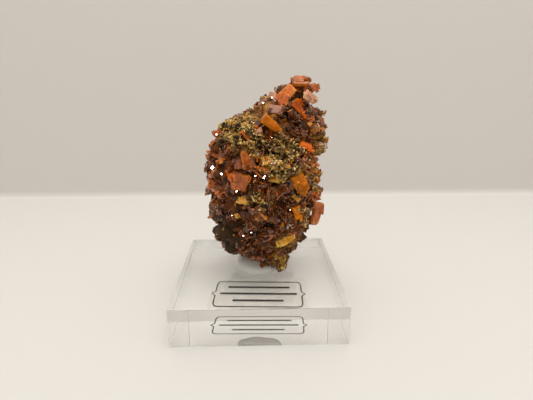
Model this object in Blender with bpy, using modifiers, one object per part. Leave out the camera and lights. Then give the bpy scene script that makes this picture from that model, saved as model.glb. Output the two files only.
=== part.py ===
"""Wulfenite on matrix, mounted with clear putty on a clear acrylic block.

Frame: metres, +Z up, +Y away from the viewer. The origin is the middle of the footprint,
on the surface that the block stands on. The specimen's best side faces -Y.
"""
import math

import bmesh
import bpy
import numpy as np
from mathutils import Matrix, Vector
from mathutils.bvhtree import BVHTree

MM = 0.001
NAME = "wulfenite_on_matrix"
GAP = 0.3 * MM
MERGE = 0.00001

# Acrylic block, with the clear label film stuck under it
BLOCK_SIDE = 50.8 * MM
BLOCK_HEIGHT = 11.8 * MM
BLOCK_EDGE = 0.3 * MM
FILM_THICK = 0.12 * MM
FILM_GAP = 0.03 * MM
FILM_WIDTH = 30.8 * MM
FILM_DEPTH = 18.0 * MM
FILM_CENTRE = (0.2 * MM, -8.2 * MM)
FILM_TURN = math.radians(-2.6)
FILM_CORNER = 0.8 * MM
BLOCK_BOTTOM = FILM_THICK + FILM_GAP
BLOCK_TOP = BLOCK_BOTTOM + BLOCK_HEIGHT

# Clear putty dome between the block and the specimen
PUTTY_CENTRE = (-0.9 * MM, 2.3 * MM)
PUTTY_RADIUS = 6.9 * MM
PUTTY_HEIGHT = 3.6 * MM
PUTTY_STEPS = 32

# Matrix: outline of its cross-section at each height, in mm: height, left, right, front, back
SECTIONS = (
    (12.3, 5.6, 7.6, -4.4, -1.6),
    (14.2, 4.6, 9.6, -5.0, 1.0),
    (15.8, -1.8, 10.4, -5.6, 6.5),
    (17.4, -6.0, 10.8, -6.6, 9.5),
    (19.4, -9.6, 10.6, -8.2, 11.6),
    (22.0, -11.6, 11.2, -9.6, 13.0),
    (25.0, -13.2, 13.8, -10.6, 14.0),
    (29.0, -14.4, 17.8, -11.6, 15.0),
    (34.0, -14.4, 18.0, -12.4, 15.8),
    (40.0, -15.2, 17.6, -12.8, 16.2),
    (46.0, -15.0, 16.8, -12.6, 16.0),
    (50.0, -14.6, 18.0, -12.2, 15.6),
    (54.0, -13.2, 19.6, -11.4, 14.8),
    (58.0, -11.0, 19.4, -10.4, 13.4),
    (61.0, -7.6, 18.2, -9.0, 11.6),
    (63.2, -2.6, 17.0, -7.4, 10.0),
    (65.4, 2.4, 16.6, -5.6, 8.2),
    (68.0, 5.8, 16.9, -4.2, 6.6),
    (70.6, 9.2, 16.2, -2.6, 5.0),
    (72.2, 11.2, 13.6, -1.0, 3.2),
)
LEVELS = 33
AROUND = 38
SQUARENESS = 0.86

# Lumps (height above 0) and hollows (below 0): side, across, height, radii, amount, in mm.
# Side is -1 for the front and 1 for the back.
FORMS = (
    (-1, 10.2, 60.8, 4.2, 3.4, -3.6),
    (-1, 16.2, 55.8, 2.8, 2.4, -2.8),
    (-1, 10.0, 56.8, 4.2, 1.5, 1.5),
    (-1, 4.4, 45.2, 2.6, 2.0, -2.4),
    (-1, -3.8, 38.4, 4.6, 1.2, -2.2),
    (-1, 8.6, 32.0, 3.4, 3.2, -2.0),
    (-1, 1.6, 28.0, 3.0, 2.6, 1.6),
    (-1, -10.8, 29.0, 4.6, 4.0, -1.6),
    (-1, -12.4, 34.6, 3.0, 1.8, 1.4),
    (-1, -3.2, 57.6, 6.0, 3.0, 1.8),
    (-1, -8.4, 50.6, 3.4, 3.0, -1.6),
    (-1, 10.6, 47.6, 4.4, 3.6, 1.9),
    (-1, 19.2, 60.6, 2.4, 3.0, 1.6),
    (-1, 15.6, 46.4, 2.6, 2.2, 1.1),
    (-1, -2.0, 20.6, 4.0, 3.0, 1.2),
    (-1, 8.4, 22.6, 3.4, 2.6, 1.5),
    (1, -6.0, 50.0, 6.0, 5.0, -3.0),
    (1, 8.0, 40.0, 7.0, 6.0, 2.4),
    (1, -4.0, 30.0, 5.0, 6.0, 1.8),
    (1, 12.0, 58.0, 4.0, 4.0, -2.0),
    (1, 2.0, 22.0, 5.0, 4.0, -2.2),
)

# Roughness of the whole matrix: wave length and height of each set of ridges, in mm
RIDGES = ((11.0, 1.2), (5.8, 1.1), (3.6, 0.75))
WAVES_EACH = 5
RIDGE_SEED = 11

# Small wulfenite plates that cover the matrix, fused to it
DRUSE_COUNT = 62
DRUSE_SEED = 5
DRUSE_WIDTH = (1.5 * MM, 3.2 * MM)
DRUSE_THICK = (0.45 * MM, 0.8 * MM)
DRUSE_SPACING = 3.2 * MM
CRYSTAL_CLEARANCE = 1.2 * MM
LOOSE_CHIP_FACES = 200
FLAT_ANGLE = math.radians(1.0)

# Finish of each kind of piece: colour, roughness
COLOURS = {
    "matrix": ((0.085, 0.045, 0.022), 0.7),
    "amber": ((0.46, 0.15, 0.015), 0.18),
    "salmon": ((0.52, 0.20, 0.10), 0.22),
    "red": ((0.42, 0.06, 0.01), 0.2),
    "ochre": ((0.56, 0.28, 0.04), 0.22),
    "mauve": ((0.27, 0.16, 0.13), 0.25),
    "pale": ((0.60, 0.38, 0.25), 0.2),
}

# Large crystals. Each name gives plates grown together: across and height of the middle (mm),
# facing (degrees right of the viewer, degrees up), spin, width, length, thickness (mm), and the
# share of the width that is lost at the narrow end. The colour of the node comes last.
CRYSTALS = (
    ("crest_blade", ((8.4, 67.9, -14, 12, -44, 3.8, 5.8, 1.3, 0.1),
                     (7.4, 67.0, -24, 10, -36, 2.8, 3.8, 1.1, 0.0)), "salmon"),
    ("crest_cap", ((12.8, 71.6, 8, 48, -96, 4.4, 5.6, 1.6, 0.2),
                   (13.4, 72.4, 4, 78, 20, 2.8, 2.6, 1.4, 0.0)), "red"),
    ("crest_spur", ((18.8, 69.4, 34, 12, -79, 2.6, 4.0, 1.2, 0.3),), "salmon"),
    ("crest_pale_plate", ((14.8, 68.0, 14, 16, -124, 3.2, 4.6, 1.1, 0.2),), "pale"),
    ("crest_fin", ((12.1, 63.9, 20, 16, -149, 4.0, 6.8, 1.2, 0.85),), "red"),
    ("crest_left_upper", ((4.7, 67.7, -18, 30, -94, 2.2, 3.0, 1.0, 0.0),), "pale"),
    ("crest_left_lower", ((1.7, 65.7, -30, 24, -14, 2.8, 2.8, 1.1, 0.2),), "pale"),
    ("shoulder_crystal", ((3.0, 60.8, -4, 16, -127, 3.6, 6.2, 2.0, 0.5),
                          (4.6, 59.7, 4, 12, 40, 2.6, 3.0, 1.8, 0.0)), "amber"),
    ("shoulder_plate", ((4.9, 64.0, -4, 34, -98, 3.4, 4.6, 0.9, 0.1),), "mauve"),
    ("shoulder_shard", ((-3.3, 57.6, 16, 14, 37, 1.6, 3.8, 0.9, 0.2),), "red"),
    ("shoulder_needle", ((0.1, 58.6, 14, 16, -50, 1.3, 2.6, 0.8, 0.0),), "pale"),
    ("top_knob", ((-6.8, 63.2, -10, 50, 30, 1.8, 1.8, 1.2, 0.0),), "red"),
    ("left_shoulder_crystal", ((-15.0, 57.2, -40, 22, -117, 2.4, 2.8, 1.4, 0.2),), "red"),
    ("right_knob", ((13.1, 53.7, 8, 20, -110, 2.4, 4.2, 1.4, 0.25),
                    (13.6, 53.6, 8, 20, -70, 2.0, 2.6, 1.7, 0.0)), "red"),
    ("ridge_plates", ((20.0, 61.1, 40, 28, 18, 2.8, 5.4, 0.9, 0.1),
                      (19.9, 60.6, 40, 28, -12, 2.6, 4.4, 1.2, 0.1)), "mauve"),
    ("fan_plates", ((-3.0, 51.0, 50, 8, 12, 3.4, 4.6, 0.7, 0.1),
                    (-1.9, 50.6, 12, 16, 9, 2.2, 3.8, 0.8, 0.2)), "salmon"),
    ("left_fan_plate", ((-5.6, 49.6, -54, 16, 12, 3.0, 3.0, 0.9, 0.0),), "mauve"),
    ("yellow_crystal", ((2.7, 50.7, 14, 30, -98, 2.2, 3.4, 1.5, 0.2),), "ochre"),
    ("centre_plate", ((-5.6, 45.2, -8, 4, 170, 5.8, 5.2, 1.1, 0.35),
                      (-5.0, 45.4, -8, 4, 34, 3.0, 4.4, 1.7, 0.0)), "salmon"),
    ("ochre_lath", ((4.8, 45.1, 10, 40, -107, 2.0, 3.4, 1.1, 0.3),), "ochre"),
    ("amber_crystal", ((12.0, 44.2, 12, 2, -151, 4.4, 6.4, 1.9, 0.2),
                       (12.4, 43.9, 12, 2, -176, 3.0, 5.0, 1.6, 0.1)), "amber"),
    ("mauve_plate", ((8.4, 42.3, -10, 12, -17, 2.4, 2.4, 1.0, 0.0),), "mauve"),
    ("pale_blade", ((10.9, 39.2, 20, 26, -141, 1.6, 3.0, 0.9, 0.4),), "ochre"),
    ("slanted_lath", ((12.0, 49.6, -14, 26, -39, 1.6, 3.8, 0.9, 0.0),), "mauve"),
    ("long_lath", ((-4.3, 38.4, -6, 36, -107, 2.4, 4.4, 1.3, 0.3),), "ochre"),
    ("left_blade", ((-13.4, 42.8, -40, 2, -6, 2.4, 3.6, 1.0, 0.2),), "amber"),
    ("left_edge_plate", ((-18.0, 39.4, -60, 10, 30, 2.4, 1.8, 1.1, 0.0),), "salmon"),
    ("right_edge_crystal", ((19.4, 42.4, 50, 16, 24, 2.4, 2.8, 1.3, 0.2),), "amber"),
    ("lower_orange_crystal", ((11.1, 34.8, 12, 6, -167, 2.4, 4.6, 1.4, 0.4),), "amber"),
    ("red_flake", ((17.0, 29.7, 28, 6, 163, 4.8, 8.2, 1.5, 0.4),), "salmon"),
    ("bottom_yellow_crystal", ((8.6, 26.4, 4, 12, -57, 2.6, 5.6, 1.4, 0.2),
                               (7.0, 25.4, -16, 26, -66, 2.2, 4.0, 1.1, 0.0)), "ochre"),
    ("lower_left_cube", ((-6.1, 34.7, -12, 22, 30, 1.4, 1.4, 1.0, 0.0),), "ochre"),
    ("low_edge_plate", ((-9.6, 21.0, -40, 4, 20, 2.0, 2.0, 1.1, 0.2),), "amber"),
)
RIM = 0.78
CORNER_CUT = 0.1
ROOT_DEPTH = 1.7 * MM
LEAST_RISE = 0.1


def clear_scene():
    """Removes whatever objects the file starts with."""
    for old in list(bpy.data.objects):
        bpy.data.objects.remove(old, do_unlink=True)


def make_collection(name):
    """Returns a new collection in the scene."""
    made = bpy.data.collections.new(name)
    bpy.context.scene.collection.children.link(made)
    return made


def make_material(name, colour, roughness):
    """Returns a Principled material of one colour."""
    material = bpy.data.materials.new(name)
    material.use_nodes = True
    shader = material.node_tree.nodes["Principled BSDF"]
    shader.inputs["Base Color"].default_value = (*colour, 1.0)
    shader.inputs["Roughness"].default_value = roughness
    return material


def add_object(name, bm, collection, material=None):
    """Turns a bmesh into an object of the given collection."""
    mesh = bpy.data.meshes.new(name)
    bm.to_mesh(mesh)
    bm.free()
    made = bpy.data.objects.new(name, mesh)
    collection.objects.link(made)
    if material:
        mesh.materials.append(material)
    return made


def hide_cutter(cutter):
    """Marks an object as a tool that shapes others."""
    cutter.hide_render = True
    cutter.display_type = "WIRE"


def add_boolean(target, tool, operation):
    """Adds an exact Boolean with one object or with every object of a collection."""
    modifier = target.modifiers.new(operation.lower(), "BOOLEAN")
    modifier.operation = operation
    modifier.solver = "EXACT"
    modifier.use_self = operation == "UNION"
    if isinstance(tool, bpy.types.Collection):
        modifier.operand_type = "COLLECTION"
        modifier.collection = tool
    else:
        modifier.object = tool


def acrylic_base(parts):
    """The polished square block of clear acrylic."""
    bm = bmesh.new()
    bmesh.ops.create_cube(bm, size=1.0)
    bmesh.ops.scale(bm, vec=(BLOCK_SIDE, BLOCK_SIDE, BLOCK_HEIGHT), verts=bm.verts)
    clear = make_material("clear_acrylic", (0.92, 0.94, 0.94), 0.03)
    block = add_object("acrylic_base", bm, parts, clear)
    block.location.z = BLOCK_BOTTOM + BLOCK_HEIGHT / 2
    edge = block.modifiers.new("edge", "BEVEL")
    edge.width = BLOCK_EDGE
    edge.segments = 1


def label_film(parts):
    """The clear film of the label, on the underside of the block."""
    bm = bmesh.new()
    bmesh.ops.create_cube(bm, size=1.0)
    bmesh.ops.scale(bm, vec=(FILM_WIDTH, FILM_DEPTH, FILM_THICK), verts=bm.verts)
    upright = [e for e in bm.edges if abs(e.verts[0].co.z - e.verts[1].co.z) > FILM_THICK / 2]
    bmesh.ops.bevel(bm, geom=upright, offset=FILM_CORNER, segments=3, profile=0.5, affect="EDGES")
    film = make_material("clear_film", (0.85, 0.86, 0.86), 0.25)
    label = add_object("label_film", bm, parts, film)
    label.location = (*FILM_CENTRE, FILM_THICK / 2)
    label.rotation_euler.z = FILM_TURN


def putty_profile(grow):
    """Half outline of the putty dome, from the rim round to the axis, grown all over."""
    rim = PUTTY_RADIUS + grow
    top = PUTTY_HEIGHT + grow
    points = [(0.0, -grow), (rim * 0.94, -grow)]
    for step in range(7):
        angle = math.radians(90) * step / 6
        points.append((rim * math.cos(angle) ** 0.7, top * math.sin(angle) ** 0.9))
    return points[::-1]


def putty_dome(name, grow, collection, material=None):
    """A turned dome of putty: a profile with a Screw modifier."""
    bm = bmesh.new()
    verts = [bm.verts.new((x, 0.0, z)) for x, z in putty_profile(grow)]
    for first, second in zip(verts, verts[1:]):
        bm.edges.new((first, second))
    dome = add_object(name, bm, collection, material)
    dome.location = (*PUTTY_CENTRE, BLOCK_TOP + GAP)
    screw = dome.modifiers.new("turn", "SCREW")
    screw.steps = PUTTY_STEPS
    screw.render_steps = PUTTY_STEPS
    screw.use_merge_vertices = True
    screw.merge_threshold = MERGE
    return dome


def ridge_waves():
    """Directions, wave numbers, phases and heights of the waves that roughen the matrix."""
    rng = np.random.default_rng(RIDGE_SEED)
    waves = []
    for length, height in RIDGES:
        for _ in range(WAVES_EACH):
            direction = rng.normal(size=3)
            direction /= np.linalg.norm(direction)
            phase = rng.uniform(0.0, 2.0 * math.pi)
            waves.append((direction * 2.0 * math.pi / length, phase, height / WAVES_EACH ** 0.5))
    return waves


def matrix_points(heights, angles):
    """Points of the matrix surface in mm: a squarish section at each height, pushed out by its
    lumps, in by its hollows, and in and out by the waves of its roughness."""
    table = np.array(SECTIONS)
    left, right, front, back = (np.interp(heights, table[:, 0], table[:, k]) for k in range(1, 5))
    cosine = np.sign(np.cos(angles)) * np.abs(np.cos(angles)) ** SQUARENESS
    sine = np.sign(np.sin(angles)) * np.abs(np.sin(angles)) ** SQUARENESS
    x = (left + right) / 2 + (right - left) / 2 * cosine
    y = (front + back) / 2 + (back - front) / 2 * sine
    amount = np.zeros_like(x)
    for side, across, height, wide, tall, rise in FORMS:
        reach = ((x - across) / wide) ** 2 + ((heights - height) / tall) ** 2
        amount += rise * np.exp(-reach) * np.clip(sine * side * 2.0, 0.0, 1.0)
    base = np.stack([x, y, heights], axis=-1)
    for wave, phase, rise in ridge_waves():
        amount += rise * np.sin(base @ wave + phase)
    calm = np.clip(np.minimum(right - left, back - front) / 12.0, 0.15, 1.0)
    amount *= calm
    outward = np.stack([np.cos(angles), np.sin(angles), np.zeros_like(x)], axis=-1)
    return base + outward * amount[..., None]


def matrix_core(collection, material):
    """The matrix without crystals: a loft through its sections, closed at both ends."""
    low, high = SECTIONS[0][0], SECTIONS[-1][0]
    heights = np.linspace(low, high, LEVELS)
    angles = np.linspace(0.0, 2.0 * math.pi, AROUND, endpoint=False)
    grid_heights, grid_angles = np.meshgrid(heights, angles, indexing="ij")
    points = matrix_points(grid_heights, grid_angles) * MM
    bm = bmesh.new()
    rings = [[bm.verts.new(point) for point in ring] for ring in points]
    for lower, upper in zip(rings, rings[1:]):
        for k in range(AROUND):
            after = (k + 1) % AROUND
            bm.faces.new((lower[k], lower[after], upper[after], upper[k]))
    bm.faces.new(rings[0][::-1])
    bm.faces.new(rings[-1])
    bmesh.ops.triangulate(bm, faces=bm.faces)
    return add_object("matrix", bm, collection, material)


def crystal_bmesh(width, length, thick, taper=0.0, cut=CORNER_CUT):
    """A tabular wulfenite crystal: a flat four-sided pyramid cut off low, its corners cut,
    mirrored below and narrowed towards +Y. Its flat faces point along +Z and -Z."""
    bm = bmesh.new()
    bmesh.ops.create_cone(bm, cap_ends=True, segments=4, radius1=math.sqrt(0.5),
                          radius2=math.sqrt(0.5) * RIM, depth=0.5)
    bmesh.ops.rotate(bm, matrix=Matrix.Rotation(math.radians(45), 3, "Z"), verts=bm.verts)
    bmesh.ops.translate(bm, vec=(0.0, 0.0, 0.25), verts=bm.verts)
    if cut:
        sloped = [e for e in bm.edges if abs(e.verts[0].co.z - e.verts[1].co.z) > 0.25]
        bmesh.ops.bevel(bm, geom=sloped, offset=cut, segments=1, affect="EDGES")
    under = [f for f in bm.faces if f.normal.z < -0.9]
    bmesh.ops.delete(bm, geom=under, context="FACES_ONLY")
    bmesh.ops.mirror(bm, geom=bm.verts[:] + bm.edges[:] + bm.faces[:], axis="Z",
                     merge_dist=0.0001)
    for vert in bm.verts:
        vert.co.x *= 1.0 - taper * (0.5 + vert.co.y)
    bmesh.ops.scale(bm, vec=(width, length, thick), verts=bm.verts)
    bmesh.ops.recalc_face_normals(bm, faces=bm.faces)
    return bm


def facing_turn(azimuth, elevation, spin):
    """Rotation that points a crystal's flat face away from the matrix: azimuth to the right of
    the viewer and elevation upwards, after a spin about the face's own axis."""
    upright = Matrix.Rotation(math.radians(90), 4, "X")
    tilt = Matrix.Rotation(math.radians(-elevation), 4, "X")
    swing = Matrix.Rotation(math.radians(azimuth), 4, "Z")
    return swing @ tilt @ upright @ Matrix.Rotation(math.radians(spin), 4, "Z")


def front_point(tree, across, height):
    """Point and outward direction of the matrix surface in front of a place, or nearest to it."""
    start = Vector((across * MM, -60.0 * MM, height * MM))
    point, normal, _, _ = tree.ray_cast(start, Vector((0.0, 1.0, 0.0)))
    if point is None:
        beside = Vector((across * MM, 0.0, height * MM))
        point, normal, _, _ = tree.find_nearest(beside)
    return point, normal


def seat_height(turn, normal, size):
    """Height of a crystal's middle above the matrix: its lower end is rooted in the rock, and at
    least a little more than half of it stands out."""
    sides = (turn.to_3x3().col[k].dot(normal) * size[k] / 2 for k in range(3))
    reach = sum(abs(side) for side in sides)
    return max(reach - ROOT_DEPTH, LEAST_RISE * reach)


def add_crystals(parts, sockets, joined, tree):
    """Builds every large crystal on the matrix, and its socket. Returns their middles."""
    middles = []
    for name, plates, colour in CRYSTALS:
        node = None
        material = make_material(name + "_finish", *COLOURS[colour])
        for across, height, azimuth, elevation, spin, *sides, taper in plates:
            point, normal = front_point(tree, across, height)
            size = [side * MM for side in sides]
            turn = facing_turn(azimuth, elevation, spin)
            place = point + normal * seat_height(turn, normal, size)
            turn = Matrix.Translation(place) @ turn
            first = node is None
            bm = crystal_bmesh(*size, taper)
            bm.transform(turn)
            plate = add_object(name if first else name + "_twin", bm, parts if first else joined,
                               material)
            around = [side + 2 * GAP for side in size]
            bm = crystal_bmesh(*around, taper * size[0] / around[0])
            bm.transform(turn)
            hide_cutter(add_object(name + "_socket", bm, sockets))
            middles.append((place, max(size) / 2))
            if first:
                node = plate
            else:
                hide_cutter(plate)
                add_boolean(node, plate, "UNION")
    return middles


def druse_places(core, middles, rng):
    """Seeded places on the matrix, spaced out and clear of the large crystals and the base."""
    mesh = core.data
    faces = [f for f in mesh.polygons if f.center.z > BLOCK_TOP + 3.0 * MM]
    weights = np.array([f.area for f in faces])
    chosen = []
    for pick in rng.choice(len(faces), size=DRUSE_COUNT * 12, p=weights / weights.sum()):
        place = faces[pick].center
        near_crystal = any((place - m).length < r + CRYSTAL_CLEARANCE for m, r in middles)
        near_other = any((place - c).length < DRUSE_SPACING for c, _ in chosen)
        if near_crystal or near_other:
            continue
        chosen.append((place.copy(), faces[pick].normal.copy()))
        if len(chosen) == DRUSE_COUNT:
            break
    return chosen


def add_druse(core, joined, middles):
    """Small tabular crystals set edge out over the matrix, grown into it."""
    rng = np.random.default_rng(DRUSE_SEED)
    for place, normal in druse_places(core, middles, rng):
        lean = Vector(rng.normal(size=3))
        flat_way = (normal.cross(lean).normalized() + normal * rng.uniform(0.0, 0.9)).normalized()
        turn = flat_way.to_track_quat("Z", "Y").to_matrix().to_4x4()
        spin = Matrix.Rotation(rng.uniform(0.0, math.pi), 4, "Z")
        width = rng.uniform(*DRUSE_WIDTH)
        bm = crystal_bmesh(width, width * rng.uniform(0.8, 1.2), rng.uniform(*DRUSE_THICK), cut=0)
        bm.transform(Matrix.Translation(place + normal * width * 0.12) @ turn @ spin)
        hide_cutter(add_object("druse", bm, joined))


def bake_shape(target):
    """Replaces an object's mesh by its evaluated one and drops loose chips."""
    depsgraph = bpy.context.evaluated_depsgraph_get()
    baked = bpy.data.meshes.new_from_object(target.evaluated_get(depsgraph))
    target.modifiers.clear()
    target.data = baked
    bm = bmesh.new()
    bm.from_mesh(baked)
    bmesh.ops.remove_doubles(bm, verts=bm.verts, dist=MERGE / 4)
    seen = set()
    for start in bm.verts:
        if start in seen:
            continue
        island = {start}
        edge_front = [start]
        while edge_front:
            vert = edge_front.pop()
            for edge in vert.link_edges:
                other = edge.other_vert(vert)
                if other not in island:
                    island.add(other)
                    edge_front.append(other)
        seen |= island
        if len({f for v in island for f in v.link_faces}) < LOOSE_CHIP_FACES:
            bmesh.ops.delete(bm, geom=list(island), context="VERTS")
    bmesh.ops.dissolve_limit(bm, angle_limit=FLAT_ANGLE, verts=bm.verts, edges=bm.edges)
    bmesh.ops.triangulate(bm, faces=bm.faces)
    bm.to_mesh(baked)
    bm.free()


def build():
    clear_scene()
    parts = make_collection(NAME)
    sockets = make_collection("sockets")
    grown = make_collection("grown_together")
    druse = make_collection("druse")
    acrylic_base(parts)
    label_film(parts)
    putty_dome("mounting_putty", 0.0, parts, make_material("clear_putty", (0.9, 0.9, 0.88), 0.2))
    hide_cutter(putty_dome("putty_seat", GAP, sockets))
    core = matrix_core(parts, make_material("matrix_rock", *COLOURS["matrix"]))
    bm = bmesh.new()
    bm.from_mesh(core.data)
    tree = BVHTree.FromBMesh(bm)
    bm.free()
    middles = add_crystals(parts, sockets, grown, tree)
    add_druse(core, druse, middles)
    add_boolean(core, druse, "UNION")
    add_boolean(core, sockets, "DIFFERENCE")
    bpy.context.view_layer.update()
    bake_shape(core)


build()
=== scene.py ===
import itertools
import math

import bpy
import numpy as np
from mathutils import Matrix, Vector
from mathutils.bvhtree import BVHTree


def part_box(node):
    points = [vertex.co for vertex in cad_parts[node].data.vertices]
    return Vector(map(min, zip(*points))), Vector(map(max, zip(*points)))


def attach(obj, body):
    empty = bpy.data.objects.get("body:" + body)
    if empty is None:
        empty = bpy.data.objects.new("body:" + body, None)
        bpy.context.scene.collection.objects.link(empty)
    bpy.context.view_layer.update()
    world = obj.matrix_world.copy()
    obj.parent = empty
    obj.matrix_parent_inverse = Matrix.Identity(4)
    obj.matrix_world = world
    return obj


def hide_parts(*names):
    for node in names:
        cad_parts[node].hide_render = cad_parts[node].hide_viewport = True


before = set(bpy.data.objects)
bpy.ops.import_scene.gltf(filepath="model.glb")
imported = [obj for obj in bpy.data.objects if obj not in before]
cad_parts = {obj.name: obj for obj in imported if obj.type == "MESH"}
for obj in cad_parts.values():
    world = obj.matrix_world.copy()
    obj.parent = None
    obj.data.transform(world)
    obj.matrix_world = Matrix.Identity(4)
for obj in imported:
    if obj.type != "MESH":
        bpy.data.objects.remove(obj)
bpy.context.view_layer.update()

# Studio. A pale table runs up into a pale wall in one sheet, and the camera stands where a
# person bends down to the specimen. Lengths in this file are millimetres unless named otherwise.
MM = 0.001
SCENE = bpy.context.scene
CAMERA_PLACE = (-1.04, -121.94, 72.19)
CAMERA_ANGLES = (73.30, 0.0, -1.76)
CAMERA_LENS = 27.02
WALL_Y = 129.0
COVE_RADIUS = 4.0
STAGE_HALF = 1500.0
STAGE_FRONT = -1500.0
WALL_TOP = 900.0
TABLE_Z = -0.03
TABLE_COLOUR = (0.735, 0.73, 0.722, 1.0)
WALL_COLOUR = (0.68, 0.655, 0.635, 1.0)


def new_mesh(name, points, *face_groups):
    """Mesh of points given in mm, flat shaded. Each group of faces is one whole array with a row
    for each face, so that all the faces of a group have the same number of corners."""
    mesh = bpy.data.meshes.new(name)
    mesh.vertices.add(len(points))
    mesh.vertices.foreach_set("co", (np.asarray(points) * MM).astype(np.float32).ravel())
    corners = np.concatenate([group.ravel() for group in face_groups])
    counts = np.concatenate([np.full(len(group), group.shape[1]) for group in face_groups])
    starts = np.concatenate([[0], np.cumsum(counts)[:-1]])
    mesh.loops.add(len(corners))
    mesh.loops.foreach_set("vertex_index", corners.astype(np.int32))
    mesh.polygons.add(len(counts))
    mesh.polygons.foreach_set("loop_start", starts.astype(np.int32))
    mesh.update(calc_edges=True)
    mesh.validate()
    mesh.shade_flat()
    return mesh


def show(name, mesh, material):
    """Puts a mesh into the scene as an object at the origin."""
    piece = bpy.data.objects.new(name, mesh)
    SCENE.collection.objects.link(piece)
    mesh.materials.append(material)
    return piece


def sheet_faces(rows, columns, closed=False):
    """Four-cornered faces between neighbours of a grid of points, round the grid if closed."""
    row, column = np.meshgrid(np.arange(rows - 1), np.arange(columns - (not closed)), indexing="ij")
    after = (column + 1) % columns
    corners = (row * columns + column, row * columns + after,
               (row + 1) * columns + after, (row + 1) * columns + column)
    return np.stack(corners, axis=-1).reshape(-1, 4)


def end_caps(around, rings):
    """The two end faces of a tube of rings: its first ring backwards, and its last one."""
    ring = np.arange(around)
    return np.stack([ring[::-1], ring + (rings - 1) * around])


def feed(tree, socket, value):
    """Links a socket to another node's output, or sets it to a plain value."""
    if isinstance(value, bpy.types.NodeSocket):
        tree.links.new(value, socket)
    else:
        socket.default_value = value


def place_node(tree, kind, values, **settings):
    """Adds a node with those settings, and feeds its sockets by name or number."""
    node = tree.nodes.new(kind)
    for setting, value in settings.items():
        setattr(node, setting, value)
    for socket, value in values.items():
        feed(tree, node.inputs[socket], value)
    return node


def mix_colours(tree, factor, first, second, blend="MIX"):
    """Colour between two others, or their product and the like by the blend's name, held to 1."""
    node = place_node(tree, "ShaderNodeMix", {0: factor, 6: first, 7: second}, data_type="RGBA",
                      blend_type=blend, clamp_result=True)
    return node.outputs[2]


def new_range(tree, value, low, high, to_low=0.0, to_high=1.0):
    """Output of a Map Range node, held within its new range."""
    values = {"Value": value, "From Min": low, "From Max": high, "To Min": to_low, "To Max": to_high}
    return place_node(tree, "ShaderNodeMapRange", values).outputs["Result"]


def noise(tree, place, scale, **values):
    """Output of a Noise Texture over those coordinates."""
    values = {"Vector": place, "Scale": scale, **values}
    return place_node(tree, "ShaderNodeTexNoise", values).outputs["Fac"]


def colour_ramp(tree, value, stops):
    """Colour read off a list of stops: place from 0 to 1, and colour."""
    node = place_node(tree, "ShaderNodeValToRGB", {"Fac": value})
    elements = node.color_ramp.elements
    while len(elements) < len(stops):
        elements.new(0.5)
    for element, (place, colour) in zip(elements, stops):
        element.position = place
        element.color = (*colour, 1.0)
    return node.outputs["Color"]


def new_material(name):
    """A material, its node tree and its Principled shader."""
    material = bpy.data.materials.new(name)
    material.use_nodes = True
    return material, material.node_tree, material.node_tree.nodes["Principled BSDF"]


def object_coordinates(tree):
    """Output with the piece's own coordinates in metres."""
    return tree.nodes.new("ShaderNodeTexCoord").outputs["Object"]


def stage_profile():
    """Depth and height of the sheet: table, a quarter circle, then the wall."""
    bend = np.radians(np.linspace(0.0, 90.0, 13))
    y = WALL_Y - COVE_RADIUS + COVE_RADIUS * np.sin(bend)
    z = COVE_RADIUS - COVE_RADIUS * np.cos(bend)
    return np.stack([np.r_[STAGE_FRONT, y, WALL_Y], TABLE_Z + np.r_[0.0, z, WALL_TOP]], axis=-1)


profile = stage_profile()
across = np.array([-STAGE_HALF, STAGE_HALF])
stage_points = np.stack([np.repeat(across[None, :], len(profile), 0),
                         np.repeat(profile[:, :1], 2, 1),
                         np.repeat(profile[:, 1:], 2, 1)], axis=-1).reshape(-1, 3)
stage_material, tree, shader = new_material("studio_sheet")
height = place_node(tree, "ShaderNodeSeparateXYZ", {"Vector": object_coordinates(tree)}).outputs["Z"]
upward = new_range(tree, height, 0.0001, 0.0014)
tree.links.new(mix_colours(tree, upward, TABLE_COLOUR, WALL_COLOUR), shader.inputs["Base Color"])
shader.inputs["Roughness"].default_value = 0.55
shader.inputs["Specular IOR Level"].default_value = 0.25
stage_mesh = new_mesh("studio_sheet", stage_points, sheet_faces(len(profile), 2))
stage_mesh.shade_smooth()
show("studio_sheet", stage_mesh, stage_material)

camera_data = bpy.data.cameras.new("camera")
camera_data.lens = CAMERA_LENS
camera_data.sensor_width = 36.0
camera_data.clip_start = 0.001
camera = bpy.data.objects.new("camera", camera_data)
camera.location = Vector(CAMERA_PLACE) * MM
camera.rotation_euler = [math.radians(angle) for angle in CAMERA_ANGLES]
SCENE.collection.objects.link(camera)
SCENE.camera = camera
SCENE.view_settings.view_transform = "Standard"

# Light. The room's own light is soft and strongest from above, one wide panel stands over the
# left shoulder, and two small lamps give the crystals their sparkle.
ROOM_STOPS = ((0.0, (0.30, 0.285, 0.265)), (0.5, (0.36, 0.34, 0.31)), (0.72, (0.72, 0.685, 0.625)),
              (1.0, (1.02, 0.97, 0.89)))
PANEL = ((40.0, -130.0, 640.0), 460.0, 1.95)
LIGHT_COLOUR = (1.0, 0.95, 0.87)
LAMPS = (((-170.0, -330.0, 330.0), 7.0, 0.16), ((210.0, -260.0, 400.0), 6.0, 0.10))
AIM = Vector((0.0, 0.0, 40.0)) * MM

SCENE.world = bpy.data.worlds.new("room")
SCENE.world.use_nodes = True
tree = SCENE.world.node_tree
direction = tree.nodes.new("ShaderNodeTexCoord").outputs["Generated"]
rise = place_node(tree, "ShaderNodeSeparateXYZ", {"Vector": direction}).outputs["Z"]
room_colour = colour_ramp(tree, new_range(tree, rise, -1.0, 1.0), ROOM_STOPS)
tree.links.new(room_colour, tree.nodes["Background"].inputs["Color"])


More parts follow.
